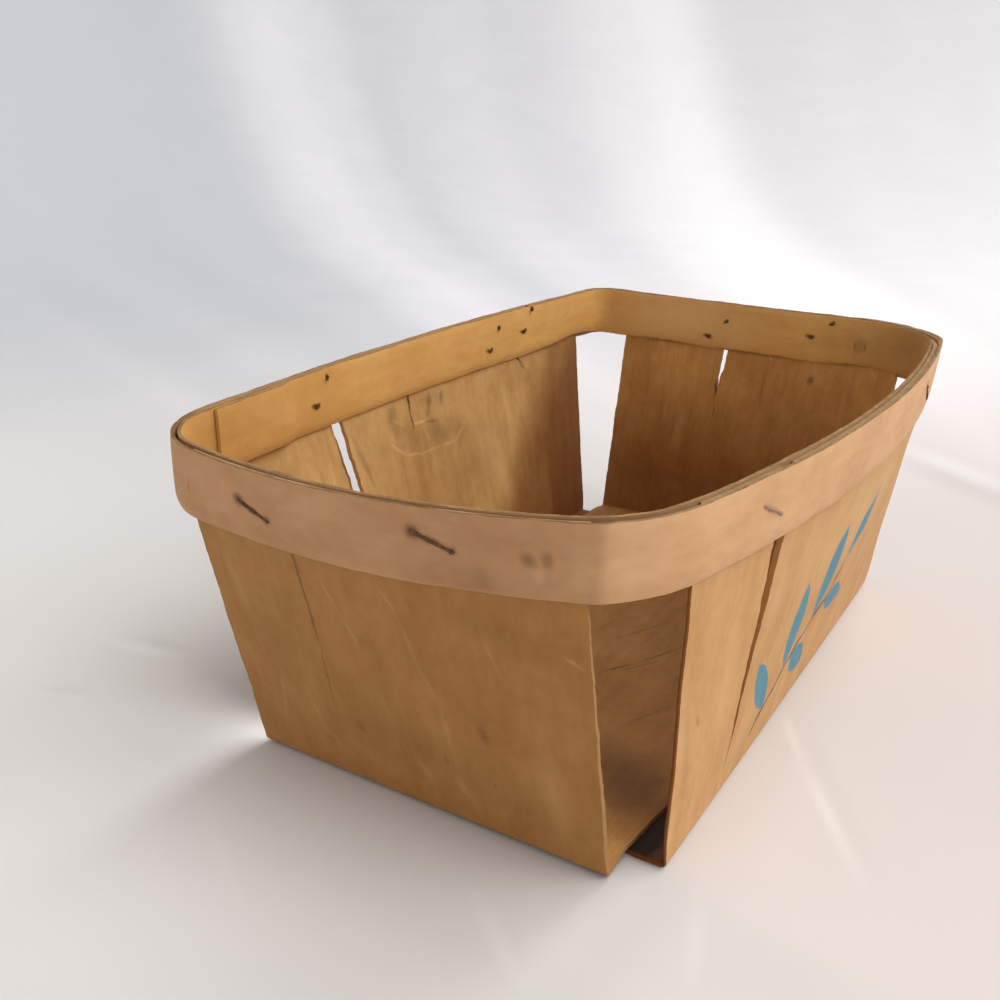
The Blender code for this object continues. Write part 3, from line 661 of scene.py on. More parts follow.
def cut_edge_material(name, dark, pale, end_tone):
    """A cut edge of the wood: two tones in an uneven mix, and a tone of its own where the edge stands upright."""
    material = bpy.data.materials.new(name)
    material.use_nodes = True
    tree = material.node_tree
    shader = tree.nodes["Principled BSDF"]
    shader.inputs["Specular IOR Level"].default_value = 0.15
    shader.inputs["Roughness"].default_value = 0.85
    where = node(tree, "ShaderNodeTexCoord")
    tone = spread(tree, scaled_noise(tree, where.outputs["Object"], (0.006, 0.006, 0.012), 4.0, 0.7), 0.3, 0.7)
    colour = blend(tree, tone, dark, pale)
    level = vector(tree, "DOT_PRODUCT", node(tree, "ShaderNodeNewGeometry").outputs["True Normal"], (0, 0, 1))
    colour = blend(tree, spread(tree, number(tree, "ABSOLUTE", level), 0.3, 0.6), end_tone, colour)
    # The painted shade at the sheet's points darkens its cut faces too.
    painted_shade_and_tone = node(tree, "ShaderNodeAttribute", attribute_name="painted_shade_and_tone").outputs["Fac"]
    colour = blend(tree, painted_shade_and_tone, colour, PAINTED_SHADE_TINT, "MULTIPLY")
    tree.links.new(colour, shader.inputs["Base Color"])
    return material


def column_shares(width, spacing, slit_shares):
    """Shares of half the width for the columns, even but closer at the edges, with a pair at each slit."""
    count = int(round(width / spacing))
    shares = np.linspace(-1, 1, count + 1)
    for slit in slit_shares:
        shares[np.argmin(np.abs(shares - slit))] = slit
    near_edge = np.array([0.5, 1.2, 2.2]) * 0.0005 / (width / 2)
    return np.sort(np.concatenate([shares, slit_shares, -1 + near_edge, 1 - near_edge]))


def wall_rows(side, foot, top, half_floor, level, floor_way):
    """A wall's outer face, from its fold to its top: an arc, a straight climb, then the bands' own slope.

    The columns start at the foot places, on the fold's line, and end at the top places behind the rim.
    Returns points [row, column, xyz] and each row's share of the climb, past 1 between the bands.
    """
    axis = side % 2
    away = 1 - axis
    line, ways, _ = rim_beside(side, top)
    bend = behind_rim(line, ways, LAYER, np.array([-BEND_BELOW_BAND]))[:, 0]
    apex = np.zeros((len(foot), 3))
    apex[:, axis] = foot
    apex[:, away] = (-1.0 if side in (0, 3) else 1.0) * half_floor
    apex[:, 2] = level
    climb = bend - apex
    upright = climb.copy()
    upright[:, axis] = 0.0
    reach_up = np.linalg.norm(upright, axis=1)
    wall_way = upright / reach_up[:, None]
    turn = np.arccos(np.clip(wall_way @ floor_way, -1, 1))
    radius = FOLD_RADIUS + SPLINT_THICKNESS
    reach = radius * np.tan(turn / 2)
    rise = wall_way - floor_way * (wall_way @ floor_way)[:, None]
    rise = rise / np.linalg.norm(rise, axis=1, keepdims=True)
    angles = np.linspace(0, 1, ARC_ROWS)[:, None, None] * turn[None, :, None]
    arc = (apex - reach[:, None] * floor_way)[None] + radius * (
        np.sin(angles) * floor_way + (1 - np.cos(angles)) * rise[None]
    )
    shares = (reach / reach_up)[None] + (1 - reach / reach_up)[None] * np.linspace(0, 1, WALL_ROWS + 1)[1:, None]
    lower = apex[None] + upright[None] * shares[..., None]
    lower[..., axis] += climb[None, :, axis] * shares
    heights = np.linspace(-BEND_BELOW_BAND, BAND_HEIGHT - WALL_TOP_DROP, BAND_ROWS + 1)[1:]
    upper = behind_rim(line, ways, LAYER, heights).transpose(1, 0, 2)
    climbed = np.concatenate([
        np.zeros(ARC_ROWS), shares.mean(axis=1), 1 + (heights + BEND_BELOW_BAND) / BAND_BOTTOM
    ])
    return np.concatenate([arc, lower, upper]), climbed


def part_slit(points, travel_up, axis, column, wall):
    """Draws the columns beside a slit apart, along the wall: most at its lips, less further off.

    The opening grows from nothing at the tip to its full width at the band, by a power of the way, and the
    slit leans evenly. Both lips are a little uneven.
    """
    tip = wall["slit_tip"]
    way = np.clip((travel_up - tip) / (1 - tip), 0, None)
    half = 0.5 * wall["slit_width"] * np.minimum(way, 1.0) ** wall["slit_power"]
    lean = wall["slit_lean"] * np.minimum(way, 1.15)
    rough = np.minimum(half, LIP_WEAR)
    along = points[..., axis]
    slope = np.gradient(points, axis=1) / np.gradient(along, axis=1)[..., None]
    left = np.arange(points.shape[1]) <= column
    far = np.abs(along - along[:, column : column + 1])
    fade = np.exp(-far / SLIT_PULL_REACH)
    lips = []
    for sign, seed in ((-1, 3), (1, 4)):
        uneven = rough * wobble(travel_up * BAND_BOTTOM, seed + 10 * column, 0.020, 0.0025, 7)
        lips.append((lean + sign * half)[:, None] * fade + uneven[:, None] * np.exp(-far / LIP_WEAR_REACH))
    return points + slope * np.where(left[None], *lips)[..., None], half > 0


def rippled(points, climbed, seed):
    """A wall's points moved square to it by slow waves across and along it, that die out at both ends."""
    across = points[..., seed % 2]
    normals = np.cross(np.gradient(points, axis=1), np.gradient(points, axis=0))
    normals = normals / np.linalg.norm(normals, axis=-1, keepdims=True)
    waves = wobble(across + 0.2 * climbed[:, None] * BAND_BOTTOM, 40 + seed, 0.080, 0.014, 5)
    swell = wobble(climbed[:, None] * BAND_BOTTOM + 0.3 * across, 50 + seed, 0.120, 0.040, 3)
    fade = np.clip(climbed / 0.12, 0, 1) * np.clip((0.97 - climbed) / 0.12, 0, 1)
    return points + normals * (RIPPLE * (waves + swell) * (fade**2 * (3 - 2 * fade))[:, None])[..., None]


def splint_grid(walls, sheet, half_floor, half_crossed, level, sag, spacing):
    """A whole splint's outer face as a grid: down the first wall, across the floor and up the second."""
    width, shift = sheet
    slit_shares = [wall["slit_share"] for wall in walls]
    shares = column_shares(width, spacing, slit_shares)
    axis = walls[0]["side"] % 2
    away = 1 - axis
    halves = []
    feet = []
    parted = []
    for wall in walls:
        side = wall["side"]
        sign = -1.0 if side in (0, 3) else 1.0
        floor_way = np.zeros(3)
        floor_way[away] = sign * (half_floor - half_crossed)
        floor_way[2] = -sag
        floor_way = floor_way / np.linalg.norm(floor_way)
        foot = shift + wall["foot_shift"] + shares * (width + wall["foot_spread"]) / 2
        feet.append(foot)
        top = wall["top_shift"] + shares * (width + wall["spread"]) / 2
        points, climbed = wall_rows(side, foot, top, half_floor, level - sag, floor_way)
        column = int(np.argmax(shares >= wall["slit_share"] - 1e-9))
        points = rippled(points, climbed, side)
        points, is_open = part_slit(points, climbed, axis, column, wall)
        halves.append((points, climbed))
        parted.append((column, is_open))
    knees = []
    for side, foot in ((walls[0]["side"], feet[0]), (walls[1]["side"], feet[1])):
        knee = np.zeros((len(foot), 3))
        knee[:, axis] = foot
        knee[:, away] = (-1.0 if side in (0, 3) else 1.0) * half_crossed
        knee[:, 2] = level
        knees.append(knee)
    way = np.linspace(0, 1, FLOOR_ROWS)[:, None, None]
    floor = knees[0][None] * (1 - way) + knees[1][None] * way
    grid = np.concatenate([halves[0][0][::-1], floor, halves[1][0]])
    climbed = np.concatenate([halves[0][1][::-1], np.zeros(FLOOR_ROWS), halves[1][1]])
    first_rows = len(halves[0][1])
    rows = np.arange(len(grid))
    open_first = np.zeros(len(grid), bool)
    open_first[:first_rows] = parted[0][1][::-1]
    open_second = np.zeros(len(grid), bool)
    open_second[-len(halves[1][1]) :] = parted[1][1]
    middle = len(shares) // 2
    steps = np.linalg.norm(np.diff(grid[:, middle], axis=0), axis=1)
    travel = np.concatenate([[0.0], np.cumsum(steps)])
    travel = travel - travel[first_rows + FLOOR_ROWS // 2]
    even = shares * width / 2
    across = np.broadcast_to(even, grid.shape[:2])
    along = np.broadcast_to(travel[:, None], grid.shape[:2])
    edge = width / 2 - np.abs(across)
    worn = EDGE_WEAR * np.exp(-edge / 0.002) * wobble(along + 3 * np.sign(across), 11, 0.03, 0.0015, 10)
    grid[..., axis] += worn
    wall_number = np.where(rows < first_rows, -1, np.where(rows >= first_rows + FLOOR_ROWS, 1, 0))
    info = {"climbed": climbed, "wall": wall_number, "travel": travel, "across": even, "edge": edge}
    return grid + TO_ORIGIN, np.stack([across, along], axis=-1), info, [
        (parted[0][0], open_first), (parted[1][0], open_second)
    ]


LIP_CUT = cut_edge_material("lip_cut", (0.27, 0.165, 0.075, 1), (0.38, 0.24, 0.110, 1), (0.44, 0.215, 0.072, 1))
PALE_CUT = cut_edge_material("pale_cut", (0.40, 0.25, 0.130, 1), (0.52, 0.335, 0.175, 1), (0.40, 0.225, 0.09, 1))
RIGHT_WALL = {
    "side": 1, "foot_spread": -0.0069, "foot_shift": -0.0051, "spread": 0.0060, "top_shift": -0.0008,
    "slit_share": -0.647, "slit_tip": 0.17, "slit_lean": 0.0, "slit_width": 0.0056, "slit_power": 0.8,
}
LEFT_WALL = {
    "side": 3, "foot_spread": 0.0, "foot_shift": 0.0, "spread": 0.0045, "top_shift": -0.0004,
    "slit_share": -0.400, "slit_tip": 0.16, "slit_lean": -0.0058, "slit_width": 0.0058, "slit_power": 0.5,
}
FRONT_WALL = {
    "side": 0, "foot_spread": 0.0, "foot_shift": 0.0, "spread": 0.0004, "top_shift": -0.0044,
    "slit_share": -0.366, "slit_tip": 0.44, "slit_lean": 0.0, "slit_width": 0.0002, "slit_power": 0.8,
}
BACK_WALL = {
    "side": 2, "foot_spread": 0.0, "foot_shift": 0.0, "spread": 0.0080, "top_shift": 0.0055,
    "slit_share": -0.240, "slit_tip": 0.77, "slit_lean": 0.0004, "slit_width": 0.0026, "slit_power": 0.8,
}
MM = 0.001


def on_wall(side, marks):
    """Marks on a wall, given in millimetres across the sheet and above the floor, as places in its grain."""
    half_floor = (FLOOR_LENGTH if side % 2 == 0 else FLOOR_WIDTH) / 2
    away = -1 if side in (0, 1) else 1
    return [
        (*((across * MM, away * (half_floor + height * MM)) for across, height in ends), width * MM, strength)
        for *ends, width, strength in marks
    ]


def on_floor(marks):
    """Marks on a sheet's floor, given in millimetres, as places in its grain."""
    return [
        (*((across * MM, along * MM) for across, along in ends), width * MM, strength)
        for *ends, width, strength in marks
    ]


def blot(places, middle, size):
    """A smooth oval of shade: one at its middle, fading outwards, for every place in the grain."""
    return np.exp(-(((places - np.array(middle)) / np.array(size)) ** 2).sum(axis=-1))


# The wall on the right is bright and warm, with a dry crack below its slit and a sprig of plain teal leaves
# painted on it. Inside, the left wall has a round swirl where a branch grew, with a crack in it, and shade is
# painted on it where it turns into the far corner and low towards that corner.
LEAF_TEAL = (0.072, 0.270, 0.370, 1.0)
STEM_GREY = (0.100, 0.085, 0.080, 1.0)
SPRIG_STEM = ((-50, 10), (-40, 20), (-28, 28), (-14, 34), (0, 42), (10, 52))
SPRIG_LEAVES = (
    ((-42, 18), (-61, 44), 5.2),
    ((-30, 27), (-34, 62), 6.2),
    ((-24, 30), (0, 15), 5.6),
    ((-10, 36), (-8, 73), 6.2),
    ((-2, 41), (25, 33), 5.4),
    ((10, 52), (27, 77), 5.6),
)


def leaf_group():
    """A pointed leaf added to a total: the arch of a parabola on both sides of its middle line."""
    group = bpy.data.node_groups.new("leaf", "ShaderNodeTree")
    for name in ("Place", "Along", "Across"):
        group_socket(group, name, "NodeSocketVector", "INPUT")
    for name in ("Middle Along", "Middle Across", "Total"):
        group_socket(group, name, "NodeSocketFloat", "INPUT", 0.0)
    group_socket(group, "Total", "NodeSocketFloat", "OUTPUT")
    given = node(group, "NodeGroupInput").outputs
    result = node(group, "NodeGroupOutput")
    along = number(group, "SUBTRACT", vector(group, "DOT_PRODUCT", given[0], given[1]), given[3])
    across = number(group, "SUBTRACT", vector(group, "DOT_PRODUCT", given[0], given[2]), given[4])
    inside = number(group, "SUBTRACT", 1.0, number(group, "MULTIPLY", along, along))
    inside = number(group, "SUBTRACT", inside, number(group, "ABSOLUTE", across))
    leaf = number(group, "MULTIPLY", inside, 9.0, clamp=True)
    group.links.new(number(group, "MAXIMUM", leaf, given[5]), result.inputs["Total"])
    return group


def sprig(tree, place, colour, share):
    """Plain leaves on a thin stem, brushed on with little paint so that some grain shows through."""
    brushed = warped(tree, place, 0.004, 0.0012)
    leaf_shape = leaf_group()
    total = 0.0
    for start, end, half_width in SPRIG_LEAVES:
        (base, tip), = [[Vector(point) for point in on_wall(1, [(start, end, 1, 1)])[0][:2]]]
        half = (tip - base) / 2
        along = half / half.length_squared
        across = Vector((-half.y, half.x)).normalized() / (half_width * MM)
        leaf = node(tree, "ShaderNodeGroup", node_tree=leaf_shape)
        leaf.inputs["Along"].default_value = (*along, 0)
        leaf.inputs["Across"].default_value = (*across, 0)
        leaf.inputs["Middle Along"].default_value = (base + half) @ along
        leaf.inputs["Middle Across"].default_value = (base + half) @ across
        tree.links.new(brushed, leaf.inputs["Place"])
        if total:
            tree.links.new(total, leaf.inputs["Total"])
        total = leaf.outputs["Total"]
    dry = spread(tree, scaled_noise(tree, place, (0.0007, 0.006), 3.0, 0.6), 0.25, 0.5, 0.72, 0.97)
    cover = number(tree, "MULTIPLY", number(tree, "MULTIPLY", total, dry), share)
    colour = blend(tree, cover, colour, LEAF_TEAL)
    bends = zip(SPRIG_STEM, SPRIG_STEM[1:])
    stem = marked(tree, brushed, on_wall(1, [(start, end, 1.5, 1.0) for start, end in bends]))
    stem = number(tree, "MULTIPLY", spread(tree, stem, 0.2, 0.5, 0.0, 0.9), share)
    return blend(tree, stem, colour, STEM_GREY)


crosswise_marks = {
    "dark outside": on_wall(1, [
        ((-71, 20), (-70, 9), 0.35, 0.9),
        ((-99, 45), (-98, 43), 1.2, 0.35),
        ((-101, 12), (-106, 60), 2.5, 0.12),
        ((40, 70), (44, 50), 2.0, 0.15),
        ((-30, 74), (-26, 52), 1.2, 0.14),
    ]),
    "pale outside": on_wall(1, [
        ((-57, 44), (-55, 38), 2.5, 0.3),
        ((-85, 70), (-84, 30), 4.0, 0.16),
        ((-60, 74), (70, 74), 24.0, 0.42),
    ]),
    "dark inside": on_wall(3, [
        ((-8, 88), (-8.6, 80), 0.8, 1.0),
        ((-8.7, 81), (-8.2, 72), 0.45, 0.9),
        ((0, 68), (8, 66), 8.5, 0.20),
        ((-14, 72), (-10, 69), 5.5, 0.16),
        ((5, 71), (10, 66), 3.5, 0.16),
        ((-20, 78), (-17, 75), 4.5, 0.20),
        ((15, 70), (20, 64), 5.0, 0.16),
        ((2, 83), (12, 81), 5.0, 0.20),
        ((-1, 74), (7, 72.5), 1.0, 0.35),
        ((4, 83), (3, 79), 1.8, 0.35),
        ((12, 83), (11, 79), 1.6, 0.30),
        ((1.5, 78), (1.5, 76), 1.4, 0.3),
        ((-18, 83), (-20, 80), 3.0, 0.25),
        ((61, 90), (68.3, 83), 0.9, 0.9),
        ((66, 84), (70, 80), 0.6, 0.5),
        ((-44.6, 90), (-44.2, 50), 1.1, 0.75),
        ((-41, 80), (-37, 58), 1.6, 0.3),
    ]) + on_floor([
        # Painted shade: the black crevice between the floor sheets by the right wall's near edge.
        ((-118, -62), (-72, -62), 6.5, 1.0),
        ((-118, -61), (-72, -61), 6.0, 1.0),
        ((-120, -67), (-74, -67), 6.0, 0.7),
    ]),
    "pale inside": on_wall(3, [
        ((-23, 71), (-16, 64.5), 0.9, 0.35),
        ((-16, 64.5), (-7, 62.5), 0.9, 0.30),
        ((-7, 62.5), (5, 62), 0.9, 0.26),
        ((5, 62), (15, 61.5), 0.9, 0.28),
        ((15, 61.5), (22, 66), 0.9, 0.30),
        ((-20, 80), (-14, 76), 0.9, 0.30),
        ((-10, 75), (2, 74), 0.7, 0.45),
        ((30, 66), (45, 30), 9.0, 0.22),
        ((52, 84), (54, 50), 3.0, 0.16),
        ((-74, 72), (-70, 60), 4.0, 0.2),
    ]),
}
crosswise_wood = wood_material(
    "crosswise_wood", 0.3,
    ((0.66, 0.385, 0.165, 1), (0.53, 0.285, 0.105, 1), 0.10, 0.22, 0.50, 0.22, 0.10),
    ((0.57, 0.335, 0.125, 1), (0.41, 0.215, 0.065, 1), 0.24, 0.22, 0.46, 0.26, 0.20),
    0.00006,
    crosswise_marks,
    sprig,
)
grid, places, info, parted = splint_grid(
    (RIGHT_WALL, LEFT_WALL), (CROSSWISE_WIDTH, CROSSWISE_SHIFT), FLOOR_WIDTH / 2,
    LENGTHWISE_WIDTH / 2, 0.0, 0.0, 0.0016,
)
half_floor = FLOOR_WIDTH / 2
NEAR_SLANT = 0.0013
to_near_edge = CROSSWISE_WIDTH / 2 + places[..., 0]
# Painted shade, kept at the sheet's points: where the left wall turns into the far corner and at that corner's foot, in
# the crevice on the floor by the right wall's near edge, down the left wall's lower far slope and on the near edge's
# cut face. One blot also darkens the left wall below its swirl.
turn_start = 0.0625 + 0.16 * np.clip(places[..., 1] - half_floor, 0, 0.1)
far_turn = np.clip((places[..., 0] - turn_start) / 0.0165, 0, 1)
deep = np.clip((half_floor + 0.098 - places[..., 1]) / 0.070, 0, 1)
inner_shade = 0.95 * far_turn * (3 - 2 * far_turn) * far_turn * (0.45 + 0.55 * deep) * (places[..., 1] > 0)
inner_shade = np.maximum(inner_shade, 0.45 * blot(places, (0.080, half_floor + 0.010), (0.050, 0.030)))
near_floor = np.clip((-0.080 - places[..., 0]) / 0.010, 0, 1) * (np.abs(places[..., 1]) < half_floor + 0.001)
inner_shade = np.maximum(inner_shade, 0.85 * near_floor * (places[..., 1] < 0))
slope = np.clip((places[..., 0] + 0.9 * (half_floor + 0.062 - places[..., 1]) - 0.052) / 0.045, 0, 1)
inner_shade = np.maximum(inner_shade, 0.85 * slope**2 * (3 - 2 * slope) * (places[..., 1] > 0))
inner_shade = np.maximum(inner_shade, 0.38 * blot(places, (0.004, half_floor + 0.044), (0.042, 0.026)))
inner_shade = np.maximum(inner_shade, (to_near_edge < 0.0004) * (places[..., 1] < 0))
# Painted shade on the floor's cut near edge, under the crevice.
outer_shade = 0.85 * (to_near_edge < 0.0004) * (np.abs(places[..., 1]) < half_floor + 0.001)
inner_face = grid - SPLINT_THICKNESS * outward_normals(grid)
inner_face[..., 1] += NEAR_SLANT * np.exp(-to_near_edge / 0.002) * (places[..., 1] < -half_floor)
crosswise = sheet_object(
    "crosswise_sheet", grid, inner_face, places,
    [crosswise_wood, LIP_CUT], (0.0, 1.0),
    {"painted_shade_and_tone": (outer_shade, inner_shade)}, parted,
)
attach(crosswise, "root")
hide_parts("crosswise_splint")

# The front wall is browner and has been rubbed: faint pale scratches fall across it. A thin crack splits it.
# Inside, shade is painted over the floor seen through the near corner slot and low on the far wall.
lengthwise_marks = {
    "pale outside": on_wall(0, [
        ((-15, 80), (-12, 71), 0.7, 0.14),
        ((-12, 71), (-7, 59), 0.6, 0.14),
        ((5, 83), (9, 75), 0.7, 0.12),
        ((9, 75), (12, 59), 1.1, 0.13),
        ((12, 59), (16, 46), 1.3, 0.12),
        ((16, 46), (17, 30), 1.2, 0.10),
        ((33, 74), (38, 60), 0.7, 0.10),
        ((54.6, 71.4), (59.1, 68.5), 0.7, 0.20),
        ((-42, 42), (-51, 9), 1.0, 0.10),
        ((-35, 39), (-31, 15), 0.9, 0.08),
        ((17, 18), (19, 14), 2.6, 0.18),
        ((4, 20), (7, 14), 2.0, 0.14),
        ((-52, 75), (-50, 60), 3.0, 0.12),
        ((45, 40), (50, 12), 5.0, 0.12),
    ]),
    "dark outside": on_wall(0, [
        ((28, 42), (29, 38), 2.1, 0.38),
        ((-16, 27), (-15.5, 25.5), 1.8, 0.30),
        ((-31, 15.5), (-30, 14.5), 1.6, 0.24),
        ((14, 26), (14, 24), 1.2, 0.25),
        ((29.5, 22), (29.5, 21.5), 0.7, 0.35),
        ((-22.5, 88), (-22.5, 52), 0.5, 0.50),
        ((-22.5, 56), (-23.6, 30), 0.4, 0.45),
        ((-22.2, 90), (-22.3, 78), 1.2, 0.25),
        ((24, 20), (50, 14), 12.0, 0.14),
        ((-10, 30), (20, 20), 11.0, 0.12),
        ((20, 80), (50, 72), 6.0, 0.10),
    ]),
    "dark inside": on_wall(2, [
        ((-15.3, 71), (-14.9, 61), 0.6, 0.85),
        ((-14.9, 61), (-13.5, 51), 0.4, 0.45),
        ((25, 77.5), (24.5, 75.5), 1.8, 0.6),
        ((51, 62), (50, 40), 1.0, 0.22),
        ((4, 80), (6, 60), 1.2, 0.22),
        ((-40, 70), (-38, 40), 1.5, 0.18),
    ]) + on_floor([
        # Painted shade over the floor, darkest towards its near right part; the thin lines are marks in the wood.
        ((10, -95), (20, 90), 75.0, 0.38),
        ((38, -78), (56, -92), 16.0, 0.45),
        ((12, -32), (21, -18), 0.6, 0.40),
        ((21, -18), (29, 0), 0.6, 0.40),
        ((16, -30), (27, -12), 0.5, 0.25),
        ((32, -60), (42, -38), 0.6, 0.22),
        ((6, -8), (18, 18), 0.7, 0.20),
    ]),
    "pale inside": on_wall(2, [
        ((-46, 86), (-43, 83), 0.7, 0.5),
        ((4, 86), (7, 83), 0.8, 0.4),
        ((-30, 60), (-28, 30), 2.5, 0.14),
    ]),
}
lengthwise_wood = wood_material(
    "lengthwise_wood", 1.0,
    ((0.420, 0.203, 0.059, 1), (0.325, 0.145, 0.037, 1), 0.07, 0.16, 0.52, 0.25, 0.08),
    ((0.62, 0.330, 0.100, 1), (0.42, 0.190, 0.050, 1), 0.27, 0.16, 0.42, 0.22, 0.28),
    0.00006,
    lengthwise_marks,
)
grid, places, info, parted = splint_grid(
    (FRONT_WALL, BACK_WALL), (LENGTHWISE_WIDTH, LENGTHWISE_SHIFT), FLOOR_LENGTH / 2,
    CROSSWISE_WIDTH / 2 + abs(CROSSWISE_SHIFT) + SAG_START, SPLINT_THICKNESS + CLEARANCE, OVERHANG_SAG, 0.0014,
)
SLANT = 0.0002
FLOOR_BULGE = 0.0030
half_floor = FLOOR_LENGTH / 2
# Painted shade, kept at the sheet's points: over the floor seen through the near corner slot, and on the far wall's
# inner face, most towards its lower left.
to_front = np.clip((-0.093 - places[..., 1]) / 0.016, 0, 1)
floor_shade = 0.50 * (np.abs(places[..., 1]) < half_floor) * (1 - to_front)
low = np.clip((half_floor + 0.074 - places[..., 1]) / 0.056, 0, 1)
back_shade = 0.68 * low**2 * (3 - 2 * low) * (1 - 0.5 * np.clip((places[..., 0] + 0.01) / 0.06, 0, 1))
back_shade = (back_shade + 0.22 * blot(places, (0.022, half_floor + 0.058), (0.030, 0.022))) * (places[..., 1] > half_floor)
behind_fold = places[..., 1] + half_floor
bulge = np.clip(behind_fold / 0.045, 0, 1) * np.clip((2 * half_floor - behind_fold) / 0.045, 0, 1)
grid[..., 0] += FLOOR_BULGE * np.sin(bulge * math.pi / 2) ** 2 * np.clip(places[..., 0] / 0.055, 0, 1)
inner_face = grid - SPLINT_THICKNESS * outward_normals(grid)
to_right_edge = LENGTHWISE_WIDTH / 2 - places[..., 0]
inner_face[..., 0] += SLANT * np.exp(-to_right_edge / 0.002) * (places[..., 1] < -half_floor)
lengthwise = sheet_object(
    "lengthwise_sheet", grid, inner_face, places,
    [lengthwise_wood, PALE_CUT], (0.0, 1.0),
    {"painted_shade_and_tone": (0.0, floor_shade + back_shade)}, parted,
)
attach(lengthwise, "root")
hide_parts("lengthwise_splint")

# The staples. Each is a bent wire driven from outside through band, wall and band, with its tips bent over
# inside. The wire has rusted dark, apart from one, and its crown has sunk a little into the soft wood.
INNER_BAND_DEPTH = LAYER + SPLINT_THICKNESS + CLEARANCE
STACK = INNER_BAND_DEPTH + BAND_THICKNESS
WIRE_DIAMETER = 0.0010
STAPLE_WIDTH = 0.0122
STAPLE_BEND = 0.0009
CLINCH_LENGTH = 0.0009
CROWN_LIFT = 0.0000
WIRE_SIDES = 10
CRUST = 0.00012
SIDES = ("front", "right", "back", "left")
STAPLE_SHARES = (
    ("front", -0.385, 0.470, 20),
    ("front", 0.338, 0.600, 18),
    ("right", -0.626, 0.512, 27),
    ("right", 0.470, 0.480, 37),
    ("back", 0.385, 0.690, 39),
    ("back", -0.210, 0.440, 45),
    ("left", 0.540, 0.730, 55),
    ("left", 0.360, 0.530, 53),
    ("left", -0.432, 0.640, 55),
)
DULL_STAPLES = (3,)


def wire_material(name, deep, pale, shine):
    """Wire under a thin uneven crust: two colours of it, in small grains."""
    material = bpy.data.materials.new(name)
    material.use_nodes = True
    tree = material.node_tree
    shader = tree.nodes["Principled BSDF"]
    shader.inputs["Metallic"].default_value = shine
    shader.inputs["Specular IOR Level"].default_value = 0.2
    where = node(tree, "ShaderNodeTexCoord").outputs["Object"]
    crust = spread(tree, scaled_noise(tree, where, (0.0011, 0.0011, 0.0011), 5.0, 0.7), 0.35, 0.65)
    tree.links.new(blend(tree, crust, deep, pale), shader.inputs["Base Color"])
    tree.links.new(number(tree, "ADD", number(tree, "MULTIPLY", crust, 0.3), 0.55), shader.inputs["Roughness"])
    bump = node(tree, "ShaderNodeBump")
    bump.inputs["Distance"].default_value = 0.0001
    tree.links.new(crust, bump.inputs["Height"])
    tree.links.new(bump.outputs["Normal"], shader.inputs["Normal"])
    return material


def staple_place(side_name, along_share):
    """A staple's place along its side's axis, from its share of half the side's length."""
    side = SIDES.index(side_name)
    ends = rim_side(side, np.array([0.0, 1.0]))[:, side % 2]
    return side, ends.mean() + along_share * abs(ends[1] - ends[0]) / 2


def staple_frame(side_name, along_share, height_share, fall):
    """The middle of a staple's crown on the outer band, the crown's way and the band's outward normal."""
    side, place = staple_place(side_name, along_share)
    line, ways, _ = rim_beside(side, np.array([place]))
    centre = behind_rim(line, ways, 0.0, np.array([[BAND_HEIGHT * height_share]]))[0, 0] + TO_ORIGIN
    tilt = math.atan2(line[0, 3], BAND_HEIGHT)
    normal = Vector((ways[0, 0] * math.cos(tilt), ways[0, 1] * math.cos(tilt), -math.sin(tilt)))
    level = Vector((0, 0, 1)).cross(normal).normalized()
    return np.array(centre), np.array(Matrix.Rotation(-math.radians(fall), 3, normal) @ level), np.array(normal)


def staple_path():
    """The wire's line in its own plane, from tip to tip: along the crown, and out of the band."""
    half = STAPLE_WIDTH / 2
    below = -STACK - CLEARANCE - WIRE_DIAMETER / 2
    turn = np.linspace(0, math.pi / 2, 7)
    shoulder = np.column_stack([
        half - STAPLE_BEND + STAPLE_BEND * np.sin(turn), CROWN_LIFT - STAPLE_BEND + STAPLE_BEND * np.cos(turn)
    ])
    clinch = np.column_stack([
        half - STAPLE_BEND + STAPLE_BEND * np.cos(turn), below + STAPLE_BEND - STAPLE_BEND * np.sin(turn)
    ])
    tip = np.array([[half - STAPLE_BEND - CLINCH_LENGTH, below + 0.0001]])
    side = np.concatenate([shoulder, clinch, tip])
    crown = np.linspace(-1, 1, 21)[1:-1, None] * np.array([[half - STAPLE_BEND, 0]]) + np.array([[0, CROWN_LIFT]])
    return np.concatenate([side[::-1] * [-1, 1], crown, side])


def wire_object(name, path, beside, radii, material):
    """A round wire along a path: rings square to it, closed to a point at both tips."""
    along = np.gradient(path, axis=0)
    along = along / np.linalg.norm(along, axis=1, keepdims=True)
    beside = beside - along * (beside * along).sum(axis=1, keepdims=True)
    beside = beside / np.linalg.norm(beside, axis=1, keepdims=True)
    third = np.cross(along, beside)
    turn = np.linspace(0, 2 * math.pi, WIRE_SIDES, endpoint=False)
    ring = np.cos(turn)[None, :, None] * beside[:, None] + np.sin(turn)[None, :, None] * third[:, None]
    points = (path[:, None] + radii[:, None, None] * ring).reshape(-1, 3)
    first = len(points)
    faces = []
    for row in range(len(path) - 1):
        for column in range(WIRE_SIDES):
            here = row * WIRE_SIDES + column
            beyond = row * WIRE_SIDES + (column + 1) % WIRE_SIDES
            faces.append((here, beyond, beyond + WIRE_SIDES, here + WIRE_SIDES))
    last_ring = first - WIRE_SIDES
    for column in range(WIRE_SIDES):
        after = (column + 1) % WIRE_SIDES
        faces.append((first, after, column))
        faces.append((first + 1, last_ring + column, last_ring + after))
    mesh = bpy.data.meshes.new(name)
    mesh.from_pydata([*points.tolist(), path[0].tolist(), path[-1].tolist()], [], faces)
    mesh.materials.append(material)
    mesh.shade_smooth()
    piece = bpy.data.objects.new(name, mesh)
    bpy.context.scene.collection.objects.link(piece)
    return piece


